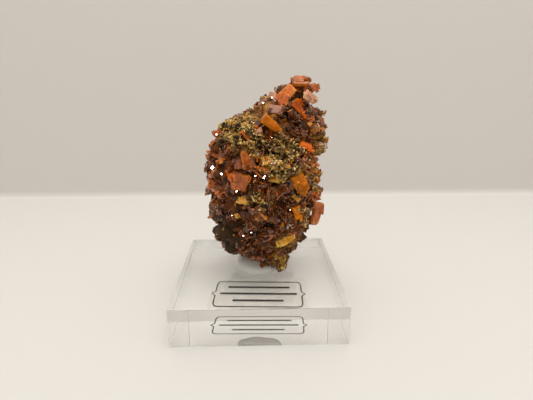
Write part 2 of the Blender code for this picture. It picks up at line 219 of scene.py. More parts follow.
def add_light(name, kind, place, size, power):
    """A light of that width in mm and power in watts, turned to the specimen."""
    light = bpy.data.lights.new(name, kind)
    light.energy = power
    light.color = LIGHT_COLOUR
    if kind == "AREA":
        light.size = size * MM
    else:
        light.shadow_soft_size = size * MM
    lamp = bpy.data.objects.new(name, light)
    lamp.location = Vector(place) * MM
    lamp.rotation_euler = (AIM - lamp.location).to_track_quat("-Z", "Y").to_euler()
    SCENE.collection.objects.link(lamp)
    return lamp


add_light("panel", "AREA", *PANEL)
for number, lamp_sizes in enumerate(LAMPS):
    add_light(f"lamp_{number}", "POINT", *lamp_sizes)


def let_lamps_through(tree, shader, share):
    """Lets that share of the lamps' direct light pass a clear piece, as it does a polished one,
    so that its shadow stays pale. What the eye sees is still the plain clear shader."""
    rays = tree.nodes.new("ShaderNodeLightPath").outputs["Is Shadow Ray"]
    part = place_node(tree, "ShaderNodeMath", {0: rays, 1: share}, operation="MULTIPLY")
    clear = tree.nodes.new("ShaderNodeBsdfTransparent").outputs["BSDF"]
    both = place_node(tree, "ShaderNodeMixShader", {0: part.outputs["Value"],
                                                    1: shader.outputs["BSDF"], 2: clear})
    tree.links.new(both.outputs["Shader"], tree.nodes["Material Output"].inputs["Surface"])


# Block: a square of clear cast acrylic with polished sides, cut from sheet. Its edges are only
# just eased, and faint wipe marks dull the polish.
EASED_EDGE = 0.1
BOX_FACES = ((0, 1, 3, 2), (4, 6, 7, 5), (0, 4, 5, 1), (2, 3, 7, 6), (0, 2, 6, 4), (1, 5, 7, 3))
block_low, block_high = (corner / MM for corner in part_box("acrylic_base"))
acrylic, tree, shader = new_material("clear_acrylic")
wipes = noise(tree, object_coordinates(tree), 90.0, Detail=4.0, Distortion=1.5)
tree.links.new(new_range(tree, wipes, 0.5, 0.8, 0.0, 0.06), shader.inputs["Roughness"])
shader.inputs["Base Color"].default_value = (1.0, 1.0, 0.995, 1.0)
shader.inputs["Transmission Weight"].default_value = 1.0
shader.inputs["IOR"].default_value = 1.49
let_lamps_through(tree, shader, 0.74)
block_corners = list(itertools.product(*zip(block_low, block_high)))
block = show("acrylic_block", new_mesh("acrylic_block", block_corners, np.array(BOX_FACES)), acrylic)
ease = block.modifiers.new("eased_edges", "BEVEL")
ease.width = EASED_EDGE * MM
ease.segments = 3
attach(block, "root")
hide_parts("acrylic_base")

# Label: a clear film stuck under the block, so that it shows from above and again through the
# front. Its thin dark frame has a point at each side, and three plain rules stand inside it.
FILM_CENTRE = (0.2, -8.2)
FILM_TURN = math.radians(-2.6)
INK_HEIGHT = 0.012
INK_ABOVE = 0.02
FRAME_HALF = (13.7, 7.3)
FRAME_SHIFT = (-0.3, -0.4)
FRAME_CORNER = (1.3, 1.9)
FRAME_POINT = 1.1
FRAME_POINT_HALF = 1.3
FRAME_LINE = 0.40
RULES = ((3.9, 10.0), (0.0, 12.2), (-3.9, 7.9))
RULE_LINE = 0.95
INK_COLOUR = (0.030, 0.030, 0.032, 1.0)
FADED_INK = (0.06, 0.06, 0.062, 1.0)
FILM_COLOUR = (0.93, 0.90, 0.84, 1.0)


def frame_outline():
    """Closed outline of the frame: straight far and near edges, corners rounded by a quarter of
    an oval, and a small point halfway down each side."""
    half_wide, half_deep = FRAME_HALF
    round_x, round_y = FRAME_CORNER
    turn = np.radians(np.linspace(90.0, 0.0, 5))
    corner = np.stack([half_wide - round_x + round_x * np.cos(turn),
                       half_deep - round_y + round_y * np.sin(turn)], axis=-1)
    side = np.array([(half_wide, FRAME_POINT_HALF), (half_wide + FRAME_POINT, 0.0),
                     (half_wide, -FRAME_POINT_HALF)])
    right = np.concatenate([corner, side, corner[::-1] * (1.0, -1.0)])
    return np.concatenate([right, -right]) + FRAME_SHIFT


def on_film(flat):
    """Turns and moves flat points of the label to their place under the block."""
    turn = np.array([[math.cos(FILM_TURN), math.sin(FILM_TURN)],
                     [-math.sin(FILM_TURN), math.cos(FILM_TURN)]])
    return flat @ turn + np.array(FILM_CENTRE)


def ink_line(route, width, closed):
    """Flat bar of ink: the route's points set off half a width to each side, along the mean of
    the neighbouring directions turned by a right angle, at two heights, and its faces."""
    if closed:
        ahead, behind = np.roll(route, -1, 0), np.roll(route, 1, 0)
    else:
        ahead, behind = np.r_[route[1:], route[-1:]], np.r_[route[:1], route[:-1]]
    way = ahead - behind
    way /= np.linalg.norm(way, axis=1, keepdims=True)
    offset = np.stack([-way[:, 1], way[:, 0]], axis=-1) * width / 2
    left, right = on_film(route + offset), on_film(route - offset)
    low = np.full((len(route), 1), block_low.z + INK_ABOVE)
    ring = [np.hstack([left, low]), np.hstack([right, low]),
            np.hstack([right, low + INK_HEIGHT]), np.hstack([left, low + INK_HEIGHT])]
    points = np.stack(ring, axis=1)
    rows = np.concatenate([points, points[:1]]) if closed else points
    faces = sheet_faces(len(rows), 4, closed=True) % (len(points) * 4)
    return points.reshape(-1, 3), faces


ink_points, ink_faces, ink_caps = [], [], []
ink_points_so_far = 0
rules = [(np.array([(-half, y), (half, y)]) + FRAME_SHIFT, RULE_LINE, False) for y, half in RULES]
for route, width, closed in [(frame_outline(), FRAME_LINE, True)] + rules:
    points, faces = ink_line(route, width, closed)
    ink_faces.append(faces + ink_points_so_far)
    if not closed:
        last = ink_points_so_far + len(points)
        ink_caps.append(np.arange(ink_points_so_far, ink_points_so_far + 4)[::-1])
        ink_caps.append(np.arange(last - 4, last))
    ink_points.append(points)
    ink_points_so_far += len(points)
ink, tree, shader = new_material("label_ink")
ink_tone = new_range(tree, noise(tree, object_coordinates(tree), 700.0), 0.3, 0.7)
tree.links.new(mix_colours(tree, ink_tone, INK_COLOUR, FADED_INK), shader.inputs["Base Color"])
shader.inputs["Roughness"].default_value = 0.5
print_lines = show("label_lines", new_mesh("label_lines", np.concatenate(ink_points),
                                           np.concatenate(ink_faces), np.array(ink_caps)), ink)
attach(print_lines, "root")

film_material, tree, shader = new_material("clear_film")
mottle = noise(tree, object_coordinates(tree), 260.0)
tree.links.new(new_range(tree, mottle, 0.3, 0.7, 0.16, 0.24), shader.inputs["Roughness"])
shader.inputs["Base Color"].default_value = FILM_COLOUR
shader.inputs["Alpha"].default_value = 0.16
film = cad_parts["label_film"]
film.data.materials.clear()
film.data.materials.append(film_material)

# Putty: a lump of clear mounting putty pressed flat on the block under the specimen. It is
# soft and a little cloudy, with a rolled edge that thumbs have left uneven.
PUTTY_CENTRE = (-0.1, 2.3)
PUTTY_RADIUS = 7.6
PUTTY_RISE = 3.9
PUTTY_PRESS = 0.03
PUTTY_AROUND = 96
PUTTY_UP = 26
PUTTY_CLEAR = (1.0, 0.99, 0.95, 1.0)
PUTTY_CLOUDY = (0.94, 0.93, 0.88, 1.0)


def putty_surface(around, up):
    """Dome: a quarter of a rounded curve from the rim to the top, carried round a circle whose
    radius swells and shrinks by two slow waves. At the rim the edge rolls under."""
    turn, lift = np.meshgrid(np.linspace(0.0, 2.0 * math.pi, around, endpoint=False),
                             np.linspace(-0.35, 0.5 * math.pi, up), indexing="xy")
    uneven = 1.0 + 0.035 * np.sin(3.0 * turn + 0.7) + 0.02 * np.sin(7.0 * turn + 2.1)
    radius = PUTTY_RADIUS * np.clip(np.cos(lift), 0.0, 1.0) ** 0.7 * uneven
    height = np.sign(np.sin(lift)) * np.abs(np.sin(lift)) ** 0.9
    low = height.min()
    z = (height - low) / (1.0 - low) * PUTTY_RISE
    return np.stack([PUTTY_CENTRE[0] + radius * np.cos(turn), PUTTY_CENTRE[1] + radius * np.sin(turn),
                     block_high.z - PUTTY_PRESS + z], axis=-1)


putty_points = putty_surface(PUTTY_AROUND, PUTTY_UP)[:-1]
putty_faces = sheet_faces(PUTTY_UP - 1, PUTTY_AROUND, closed=True)
putty_material, tree, shader = new_material("clear_putty")
cloud = noise(tree, object_coordinates(tree), 240.0, Detail=5.0)
tree.links.new(new_range(tree, cloud, 0.3, 0.7, 0.05, 0.20), shader.inputs["Roughness"])
tree.links.new(mix_colours(tree, cloud, PUTTY_CLEAR, PUTTY_CLOUDY), shader.inputs["Base Color"])
shader.inputs["Transmission Weight"].default_value = 0.28
shader.inputs["IOR"].default_value = 1.45
let_lamps_through(tree, shader, 0.7)
putty_mesh = new_mesh("mounting_putty_dome", putty_points.reshape(-1, 3), putty_faces,
                      end_caps(PUTTY_AROUND, PUTTY_UP - 1))
putty_mesh.shade_smooth()
putty = show("mounting_putty_dome", putty_mesh, putty_material)
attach(putty, "root")
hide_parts("mounting_putty")

# Matrix: the rock that the crystals grew on. It is dark and full of hollows, with a lacy olive
# and cream crust on its top and right side and one broken dark face low on the left. Its form
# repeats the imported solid, and the fine relief is worked into the mesh.
SECTIONS = (  # height, left, right, front, back
    (12.3, 5.6, 7.6, -4.4, -1.6),
    (14.2, 4.6, 9.6, -5.0, 1.0),
    (15.8, -1.8, 10.4, -5.6, 6.5),
    (17.4, -6.0, 10.8, -6.6, 9.5),
    (19.4, -9.6, 10.6, -8.2, 11.6),
    (22.0, -11.6, 11.2, -9.6, 13.0),
    (25.0, -13.2, 13.8, -10.6, 14.0),
    (29.0, -14.4, 17.8, -11.6, 15.0),
    (34.0, -14.4, 18.0, -12.4, 15.8),
    (40.0, -15.2, 17.6, -12.8, 16.2),
    (46.0, -15.0, 16.8, -12.6, 16.0),
    (50.0, -14.6, 18.0, -12.2, 15.6),
    (54.0, -13.2, 19.6, -11.4, 14.8),
    (58.0, -11.0, 19.4, -10.4, 13.4),
    (61.0, -7.6, 18.2, -9.0, 11.6),
    (63.2, -2.6, 17.0, -7.4, 10.0),
    (65.4, 2.4, 16.6, -5.6, 8.2),
    (68.0, 5.8, 16.9, -4.2, 6.6),
    (70.6, 9.2, 16.2, -2.6, 5.0),
    (72.2, 11.2, 13.6, -1.0, 3.2),
)
SQUARENESS = 0.86
FORMS = (  # side (-1 front, 1 back), across, height, radii, amount
    (-1, 10.2, 60.8, 4.2, 3.4, -3.6),
    (-1, 16.2, 55.8, 2.8, 2.4, -2.8),
    (-1, 10.0, 56.8, 4.2, 1.5, 1.5),
    (-1, 4.4, 45.2, 2.6, 2.0, -2.4),
    (-1, -3.8, 38.4, 4.6, 1.2, -2.2),
    (-1, 8.6, 32.0, 3.4, 3.2, -2.0),
    (-1, 1.6, 28.0, 3.0, 2.6, 1.6),
    (-1, -10.8, 29.0, 4.6, 4.0, -1.6),
    (-1, -12.4, 34.6, 3.0, 1.8, 1.4),
    (-1, -3.2, 57.6, 6.0, 3.0, 1.8),
    (-1, -8.4, 50.6, 3.4, 3.0, -1.6),
    (-1, 10.6, 47.6, 4.4, 3.6, 1.9),
    (-1, 19.2, 60.6, 2.4, 3.0, 1.6),
    (-1, 15.6, 46.4, 2.6, 2.2, 1.1),
    (-1, -2.0, 20.6, 4.0, 3.0, 1.2),
    (-1, 8.4, 22.6, 3.4, 2.6, 1.5),
    (1, -6.0, 50.0, 6.0, 5.0, -3.0),
    (1, 8.0, 40.0, 7.0, 6.0, 2.4),
    (1, -4.0, 30.0, 5.0, 6.0, 1.8),
    (1, 12.0, 58.0, 4.0, 4.0, -2.0),
    (1, 2.0, 22.0, 5.0, 4.0, -2.2),
)
RIDGES = ((11.0, 1.2), (5.8, 1.1), (3.6, 0.75))
WAVES_EACH = 5
RIDGE_SEED = 11
FINE_LEVELS = 232
FINE_AROUND = 416
LATTICE = 32
ROCK_INSET = 0.25
CALM_SWELL = 1.1
SWELLS = (  # across, height, half width, half height, how far the best side comes out there
    (-10.0, 61.4, 3.6, 2.4, 1.0),
    (-14.0, 50.0, 2.5, 3.0, 0.7),
    (5.6, 69.4, 3.6, 2.6, -1.6),
    (19.0, 64.0, 2.5, 1.6, -0.8),
)
CRUST_SPOTS = (  # across, height, half width, half height
    (-6.0, 58.8, 7.4, 6.0),
    (-1.5, 55.0, 4.0, 4.0),
    (7.8, 52.6, 6.6, 5.6),
    (6.2, 47.6, 4.6, 3.6),
    (1.4, 39.4, 3.6, 2.8),
    (14.2, 32.6, 2.8, 4.2),
    (18.6, 49.0, 3.4, 11.0),
    (8.0, 15.0, 4.0, 3.0),
)
OCHRE_SPOTS = (  # where the rock is stained ochre, as above
    (15.0, 45.6, 3.0, 4.0),
    (9.0, 24.4, 5.0, 3.0),
    (7.0, 17.5, 4.5, 3.0),
    (-2.5, 52.5, 4.0, 2.4),
    (1.5, 63.5, 3.5, 2.5),
    (18.0, 55.0, 2.4, 3.0),
)
CALM_SPOTS = (  # the broken dark face, as above
    (-10.4, 29.0, 5.0, 5.0),
    (-7.6, 24.6, 4.0, 3.4),
)


def ridge_waves():
    """Directions, wave numbers, phases and heights of the waves that roughen the matrix."""
    rng = np.random.default_rng(RIDGE_SEED)
    waves = []
    for length, rise in RIDGES:
        for _ in range(WAVES_EACH):
            way = rng.normal(size=3)
            way /= np.linalg.norm(way)
            phase = rng.uniform(0.0, 2.0 * math.pi)
            waves.append((way * 2.0 * math.pi / length, phase, rise / WAVES_EACH ** 0.5))
    return waves


def matrix_points(heights, angles):
    """Points of the matrix: a squarish section at each height, pushed out by its lumps, in by
    its hollows, and in and out by the waves of its roughness."""
    table = np.array(SECTIONS)
    left, right, front, back = (np.interp(heights, table[:, 0], table[:, k]) for k in range(1, 5))
    cosine = np.sign(np.cos(angles)) * np.abs(np.cos(angles)) ** SQUARENESS
    sine = np.sign(np.sin(angles)) * np.abs(np.sin(angles)) ** SQUARENESS
    x = (left + right) / 2 + (right - left) / 2 * cosine
    y = (front + back) / 2 + (back - front) / 2 * sine
    amount = np.zeros_like(x)
    for side, across, height, wide, tall, rise in FORMS:
        reach = ((x - across) / wide) ** 2 + ((heights - height) / tall) ** 2
        amount += rise * np.exp(-reach) * np.clip(sine * side * 2.0, 0.0, 1.0)
    base = np.stack([x, y, heights], axis=-1)
    for wave, phase, rise in ridge_waves():
        amount += rise * np.sin(base @ wave + phase)
    amount *= np.clip(np.minimum(right - left, back - front) / 12.0, 0.15, 1.0)
    outward = np.stack([np.cos(angles), np.sin(angles), np.zeros_like(x)], axis=-1)
    return base + outward * amount[..., None]


def lattice_noise(points, cell, seed):
    """Smooth noise from -1 to 1: random values at the corners of cubes of that size, blended
    inside each cube by an S-curve of the distance along each side."""
    values = np.random.default_rng(seed).uniform(-1.0, 1.0, (LATTICE,) * 3)
    scaled = points / cell + 4.0 * LATTICE
    corner = np.floor(scaled).astype(int)
    inside = scaled - corner
    inside = inside * inside * (3.0 - 2.0 * inside)
    total = np.zeros(points.shape[:-1])
    for step in itertools.product((0, 1), repeat=3):
        share = np.prod(np.where(np.array(step) == 1, inside, 1.0 - inside), axis=-1)
        index = (corner + np.array(step)) % LATTICE
        total += share * values[index[..., 0], index[..., 1], index[..., 2]]
    return total


def unit(vectors):
    """The same directions with a length of 1."""
    return vectors / np.maximum(np.linalg.norm(vectors, axis=-1, keepdims=True), 1e-9)


def grid_normals(points):
    """Outward directions of a closed grid: the cross product of its two running differences."""
    along = np.roll(points, -1, 1) - np.roll(points, 1, 1)
    upward = np.gradient(points, axis=0)
    return unit(np.cross(along, upward))


def front_share(points):
    """1 on the best side of the specimen, falling to 0 behind its middle."""
    return np.clip((5.0 - points[..., 1]) / 6.0, 0.0, 1.0)


def soft_spots(points, spots):
    """Ragged spots on the best side: 1 inside each oval, and falling off at its edge, with the
    place shifted by noise of 3 mm."""
    x = points[..., 0] + 1.5 * lattice_noise(points, 3.0, 41)
    z = points[..., 2] + 1.5 * lattice_noise(points, 3.0, 42)
    total = np.zeros(points.shape[:-1])
    for across, height, wide, tall in spots:
        reach = ((x - across) / wide) ** 2 + ((z - height) / tall) ** 2
        total = np.maximum(total, np.exp(-reach ** 2))
    return total * front_share(points)


def back_patches(points, seed, level):
    """Patches of about 8 mm behind the specimen, where slow noise is over a level."""
    slow = lattice_noise(points, 7.0, seed) + 0.4 * lattice_noise(points, 2.6, seed + 1)
    return np.clip((slow - level) / 0.25, 0.0, 1.0) * (1.0 - front_share(points))


def wormy_relief(points):
    """Lace of narrow ridges from 0 to 1: bell curves about the lines where noise is zero."""
    broad = lattice_noise(points, 1.9, 51) + 0.3 * lattice_noise(points, 0.8, 52)
    close = lattice_noise(points, 1.15, 53)
    return np.maximum(np.exp(-(broad / 0.22) ** 2), 0.75 * np.exp(-(close / 0.2) ** 2))


grid_height, grid_angle = np.meshgrid(np.linspace(SECTIONS[0][0], SECTIONS[-1][0], FINE_LEVELS),
                                      np.linspace(0.0, 2.0 * math.pi, FINE_AROUND, endpoint=False),
                                      indexing="ij")
rock_points = matrix_points(grid_height, grid_angle)
crust = np.maximum(soft_spots(rock_points, CRUST_SPOTS), back_patches(rock_points, 61, 0.12))
ochre = np.maximum(soft_spots(rock_points, OCHRE_SPOTS), back_patches(rock_points, 64, 0.35))
calm = np.maximum(soft_spots(rock_points, CALM_SPOTS), back_patches(rock_points, 67, 0.42))
lace = wormy_relief(rock_points)
rubble = 0.75 * lattice_noise(rock_points, 1.7, 71) + 0.4 * lattice_noise(rock_points, 0.75, 72)
holes = np.clip((lattice_noise(rock_points, 2.1, 73) - 0.42) / 0.3, 0.0, 1.0)
relief = crust * (1.15 * lace - 0.55 - 1.3 * holes) + (1.0 - crust) * (0.75 * rubble - 0.8 * holes)
relief *= 1.0 - 0.75 * calm
rock_normals = grid_normals(rock_points)
ends = np.clip(np.minimum(grid_height - SECTIONS[0][0], SECTIONS[-1][0] - grid_height) / 2.0, 0.0, 1.0)
relief_rise = relief - ROCK_INSET * (1.0 - calm) + CALM_SWELL * calm
relief_rise += sum(rise * soft_spots(rock_points, (spot,)) for *spot, rise in SWELLS)
rock_points = rock_points + rock_normals * (relief_rise * ends)[..., None]
rock_normals = grid_normals(rock_points)


def add_attribute(mesh, name, values):
    """Stores one number for each point of a mesh, for its material to read."""
    stored = mesh.attributes.new(name, "FLOAT", "POINT")
    stored.data.foreach_set("value", np.asarray(values, np.float32).ravel())


def read_attribute(tree, name, output="Fac"):
    """Output with the number, or the colour, that the mesh stores under a name."""
    return place_node(tree, "ShaderNodeAttribute", {}, attribute_name=name).outputs[output]


rock_mesh = new_mesh("matrix_rock", rock_points.reshape(-1, 3),
                     sheet_faces(FINE_LEVELS, FINE_AROUND, closed=True),
                     end_caps(FINE_AROUND, FINE_LEVELS))
rock_mesh.shade_smooth()
# The last attribute keeps how low the relief sits, and the material paints the hollows darker from it:
# painted shade.
for attribute_name, numbers in (("crust", crust), ("ochre", ochre), ("calm", calm), ("lace", lace),
                                ("hollow_shade", np.clip(0.5 + relief * 0.5, 0.0, 1.0))):
    add_attribute(rock_mesh, attribute_name, numbers)


def new_group(name, inputs, outputs):
    """A node group with named sockets: the group, what goes into it, and what it puts out."""
    group = bpy.data.node_groups.new(name, "ShaderNodeTree")
    for side, sockets in (("INPUT", inputs), ("OUTPUT", outputs)):
        for socket, kind in sockets.items():
            group.interface.new_socket(name=socket, in_out=side, socket_type="NodeSocket" + kind)
    given = group.nodes.new("NodeGroupInput").outputs
    return group, given, group.nodes.new("NodeGroupOutput").inputs


def shaded(tree, colour, shade):
    """A colour times a plain number."""
    grey = place_node(tree, "ShaderNodeCombineXYZ", {"X": shade, "Y": shade, "Z": shade})
    return mix_colours(tree, 1.0, colour, grey.outputs["Vector"], "MULTIPLY")


def build_grain_group():
    """Node group for stone and crust: speckles a colour and gives a fine height for its bump."""
    group, given, put_out = new_group(
        "mineral_grain", {"Colour": "Color", "Place": "Vector", "Size": "Float", "Amount": "Float"},
        {"Colour": "Color", "Height": "Float"})
    speckle = noise(group, given["Place"], given["Size"], Detail=6.0, Roughness=0.7)
    speckled = shaded(group, given["Colour"], new_range(group, speckle, 0.32, 0.68, 0.35, 1.5))
    group.links.new(mix_colours(group, given["Amount"], given["Colour"], speckled), put_out["Colour"])
    group.links.new(speckle, put_out["Height"])
    return group


GRAIN = build_grain_group()


def grained(tree, shader, colour, size, amount, bump):
    """Feeds a colour to a shader through the mineral grain, with its bump in mm."""
    grain = place_node(tree, "ShaderNodeGroup", {}, node_tree=GRAIN)
    for socket, value in (("Colour", colour), ("Place", object_coordinates(tree)), ("Size", size),
                          ("Amount", amount)):
        feed(tree, grain.inputs[socket], value)
    tree.links.new(grain.outputs["Colour"], shader.inputs["Base Color"])
    raised = place_node(tree, "ShaderNodeBump", {"Height": grain.outputs["Height"], "Strength": 1.0,
                                                 "Distance": bump * MM})
    tree.links.new(raised.outputs["Normal"], shader.inputs["Normal"])


rock, tree, shader = new_material("matrix_rock")
slow = noise(tree, object_coordinates(tree), 260.0, Detail=5.0)
brown = colour_ramp(tree, slow, ((0.30, (0.014, 0.006, 0.003)), (0.48, (0.070, 0.020, 0.006)),
                                 (0.62, (0.17, 0.050, 0.010)), (0.80, (0.30, 0.11, 0.020))))
# The crust is near black between its lace ridges, as painted shade, and light cream on their tops,
# partly its own colour and partly painted highlight.
olive = colour_ramp(tree, read_attribute(tree, "lace"),
                    ((0.10, (0.010, 0.007, 0.003)), (0.45, (0.085, 0.055, 0.018)),
                     (0.78, (0.36, 0.23, 0.065)), (1.0, (0.82, 0.56, 0.17))))
ochre_tone = colour_ramp(tree, slow, ((0.30, (0.050, 0.022, 0.006)), (0.50, (0.34, 0.14, 0.020)),
                                      (0.75, (0.66, 0.36, 0.07))))
calm_tone = colour_ramp(tree, slow, ((0.35, (0.014, 0.007, 0.003)), (0.70, (0.060, 0.027, 0.010))))
tone = mix_colours(tree, read_attribute(tree, "crust"), brown, olive)
tone = mix_colours(tree, read_attribute(tree, "ochre"), tone, ochre_tone)
tone = mix_colours(tree, read_attribute(tree, "calm"), tone, calm_tone)
# Hollows are darkened to as little as 0.15 of their colour: painted shade.
shade = new_range(tree, read_attribute(tree, "hollow_shade"), 0.12, 0.55, 0.15, 1.0)
grained(tree, shader, shaded(tree, tone, shade), 2600.0, 0.7, 0.12)
shader.inputs["Roughness"].default_value = 0.62
shader.inputs["Specular IOR Level"].default_value = 0.28
shader.inputs["Specular Tint"].default_value = (1.0, 0.82, 0.62, 1.0)
rock_piece = show("matrix_rock", rock_mesh, rock)
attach(rock_piece, "root")
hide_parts("matrix")

# Crust: short curled threads and round grains of olive, cream and ochre mineral, heaped on the
# lacy parts of the matrix. Each thread is a tapered tube, bent in an arc, lying on the rock.
THREADS = 2600
THREAD_SEED = 81
THREAD_RINGS = 6
THREAD_SIDES = 5
THREAD_LENGTH = (0.5, 1.25)
THREAD_RADIUS = (0.12, 0.25)
GRAINS = 3200
GRAIN_SEED = 82
GRAIN_RADIUS = (0.10, 0.34)
GRAIN_AROUND = 6
GRAIN_POINTS = 3 * GRAIN_AROUND + 2
OCHRE_GRAIN = (0.62, 0.30, 0.040)
CRUST_TINTS = (  # share, colour
    (0.18, (0.180, 0.110, 0.028)),
    (0.22, (0.420, 0.260, 0.064)),
    (0.28, (0.900, 0.640, 0.230)),
    (0.22, (0.700, 0.290, 0.026)),
    # the near-black threads and grains stand in for the shade of pits: painted shade
    (0.10, (0.024, 0.014, 0.006)),
)


def grid_areas(points):
    """Area of each cell of a closed grid: the cross product of its sides."""
    along = np.roll(points, -1, 1) - points
    upward = np.diff(points, axis=0, append=points[-1:])
    return np.linalg.norm(np.cross(along, upward), axis=-1)


def spread(count, weights, rng):
    """Grid places drawn at random, in proportion to weight times area: their rows and columns."""
    shares = (weights * grid_areas(rock_points)).ravel()
    picks = rng.choice(shares.size, size=count, p=shares / shares.sum())
    return picks // FINE_AROUND, picks % FINE_AROUND


def between(rng, limits, count):
    """Random sizes within two limits."""
    return rng.uniform(*limits, count)


def joined_copies(shapes, face_groups, middles, axes):
    """Points and faces of many copies: each shape turned by its three axes and moved to its
    middle, and its faces renumbered past those of the copies before it."""
    placed = np.einsum("npk,nkd->npd", shapes, axes) + middles[:, None, :]
    shifts = np.arange(len(middles)) * shapes.shape[1]
    faces = [(group[None] + shifts[:, None, None]).reshape(-1, group.shape[1]) for group in face_groups]
    return placed.reshape(-1, 3), faces


def lying_axes(normals, rng):
    """Three axes at each place: two across the rock at a random turn, and its outward one."""
    first = unit(np.cross(normals, rng.normal(size=normals.shape)))
    return np.stack([first, np.cross(normals, first), normals], axis=1)


def thread_shapes(lengths, radii, bends):
    """Tapered tubes: rings carried along an arc of that bend, thickest in the middle, where the
    ring's radius is a half wave of the way along. The arc lies flat and bows upwards."""
    along = np.linspace(-0.5, 0.5, THREAD_RINGS)
    turn = np.linspace(0.0, 2.0 * math.pi, THREAD_SIDES, endpoint=False)
    heading = bends[:, None] * along
    sweep = lengths / np.maximum(bends, 0.1)
    x = sweep[:, None] * np.sin(heading)
    y = sweep[:, None] * (1.0 - np.cos(heading))
    z = 0.35 * lengths[:, None] * np.cos(along * math.pi)
    thickness = radii[:, None] * (0.6 + 0.4 * np.cos(along * math.pi))
    aside = thickness[..., None] * np.cos(turn)
    upright = thickness[..., None] * np.sin(turn)
    points = np.stack([x[..., None] - aside * np.sin(heading)[..., None],
                       y[..., None] + aside * np.cos(heading)[..., None],
                       z[..., None] + upright], axis=-1)
    return points.reshape(len(lengths), -1, 3)


def grain_shapes(radii, rng):
    """Knobbly grains: three rings of points between two poles, each point pushed in or out."""
    lift = np.radians([-90.0, -45.0, 0.0, 45.0, 90.0])
    rings = [[(0.0, 0.0, -1.0)]]
    for angle in lift[1:-1]:
        turn = np.linspace(0.0, 2.0 * math.pi, GRAIN_AROUND, endpoint=False)
        rings.append(np.stack([np.cos(angle) * np.cos(turn), np.cos(angle) * np.sin(turn),
                               np.full(GRAIN_AROUND, np.sin(angle))], axis=-1))
    rings.append([(0.0, 0.0, 1.0)])
    ball = np.concatenate([np.asarray(ring, float) for ring in rings])
    uneven = rng.uniform(0.75, 1.2, (len(radii), len(ball), 1))
    return ball[None] * uneven * radii[:, None, None]


def grain_faces():
    """Faces of a grain: a fan at each pole and two belts of four-cornered faces between."""
    ring = np.arange(GRAIN_AROUND)
    after = (ring + 1) % GRAIN_AROUND
    last = 1 + 2 * GRAIN_AROUND
    bottom = np.stack([np.zeros(GRAIN_AROUND, int), 1 + after, 1 + ring], axis=-1)
    top = np.stack([np.full(GRAIN_AROUND, GRAIN_POINTS - 1), last + ring, last + after], axis=-1)
    belts = sheet_faces(3, GRAIN_AROUND, closed=True) + 1
    return belts, np.concatenate([bottom, top])


def add_tints(mesh, tints, copies_of):
    """Stores one colour for each copy, on every point of it."""
    stored = mesh.attributes.new("tint", "FLOAT_COLOR", "POINT")
    colours = np.repeat(np.c_[tints, np.ones(len(tints))], copies_of, axis=0)
    stored.data.foreach_set("color", colours.astype(np.float32).ravel())


def draw_tints(palette, count, rng, jitter=0.25):
    """Colours drawn from a palette by its shares, each made lighter or darker at random."""
    shares = np.array([share for share, _ in palette])
    colours = np.array([colour for _, colour in palette])
    picks = rng.choice(len(palette), size=count, p=shares / shares.sum())
    return colours[picks] * rng.uniform(1.0 - jitter, 1.0 + jitter, (count, 1))


crust_material, tree, shader = new_material("olive_crust")
grained(tree, shader, read_attribute(tree, "tint", "Color"), 3800.0, 0.6, 0.05)
shader.inputs["Roughness"].default_value = 0.5
shader.inputs["Specular IOR Level"].default_value = 0.5

rng = np.random.default_rng(THREAD_SEED)
rows, columns = spread(THREADS, crust ** 2 * (0.25 + lace), rng)
thread_sizes = between(rng, THREAD_LENGTH, THREADS)
thread_points, thread_faces = joined_copies(
    thread_shapes(thread_sizes, between(rng, THREAD_RADIUS, THREADS), rng.uniform(0.6, 3.4, THREADS)),
    [sheet_faces(THREAD_RINGS, THREAD_SIDES, closed=True), end_caps(THREAD_SIDES, THREAD_RINGS)],
    rock_points[rows, columns] - rock_normals[rows, columns] * 0.12,
    lying_axes(unit(rock_normals[rows, columns] + rng.normal(size=(THREADS, 3)) * 0.35), rng))
thread_mesh = new_mesh("crust_threads", thread_points, *thread_faces)
thread_mesh.shade_smooth()
add_tints(thread_mesh, draw_tints(CRUST_TINTS, THREADS, rng), THREAD_RINGS * THREAD_SIDES)
threads = show("crust_threads", thread_mesh, crust_material)
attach(threads, "root")

rng = np.random.default_rng(GRAIN_SEED)
rows, columns = spread(GRAINS, 0.12 + crust + 0.8 * ochre, rng)
grain_points, grain_face_groups = joined_copies(
    grain_shapes(between(rng, GRAIN_RADIUS, GRAINS), rng), grain_faces(),
    rock_points[rows, columns], lying_axes(rock_normals[rows, columns], rng))
grain_mesh = new_mesh("crust_grains", grain_points, *grain_face_groups)
grain_mesh.shade_smooth()
grain_tints = draw_tints(CRUST_TINTS, GRAINS, rng)
warm = ochre[rows, columns][:, None]
ochre_tints = np.array(OCHRE_GRAIN) * warm * rng.uniform(0.4, 1.4, (GRAINS, 1))
grain_tints = grain_tints * (1.0 - warm) + ochre_tints
add_tints(grain_mesh, grain_tints, GRAIN_POINTS)
grains = show("crust_grains", grain_mesh, crust_material)
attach(grains, "root")

# Small wulfenite: thousands of thin square plates, grown edge out in bunches over the rock.
# They are clear, brown-red to orange, and look mauve where a face throws back the light. A few
# on the best side are turned so that they flash one lamp.
PLATE_BUNCHES = 1350
PLATES_EACH = 4
PLATE_SEED = 91
PLATE_WIDTH = (0.8, 3.0)
PLATE_FINENESS = ((16.0, 30.0, 36.0, 64.0, 68.0), (0.72, 0.78, 1.0, 1.0, 0.55))  # heights, shares
PLATE_THICK = 0.24
PLATE_RIM = 0.8
PLATE_STRAY = 3.2
PLATE_UNEVENNESS = 0.16
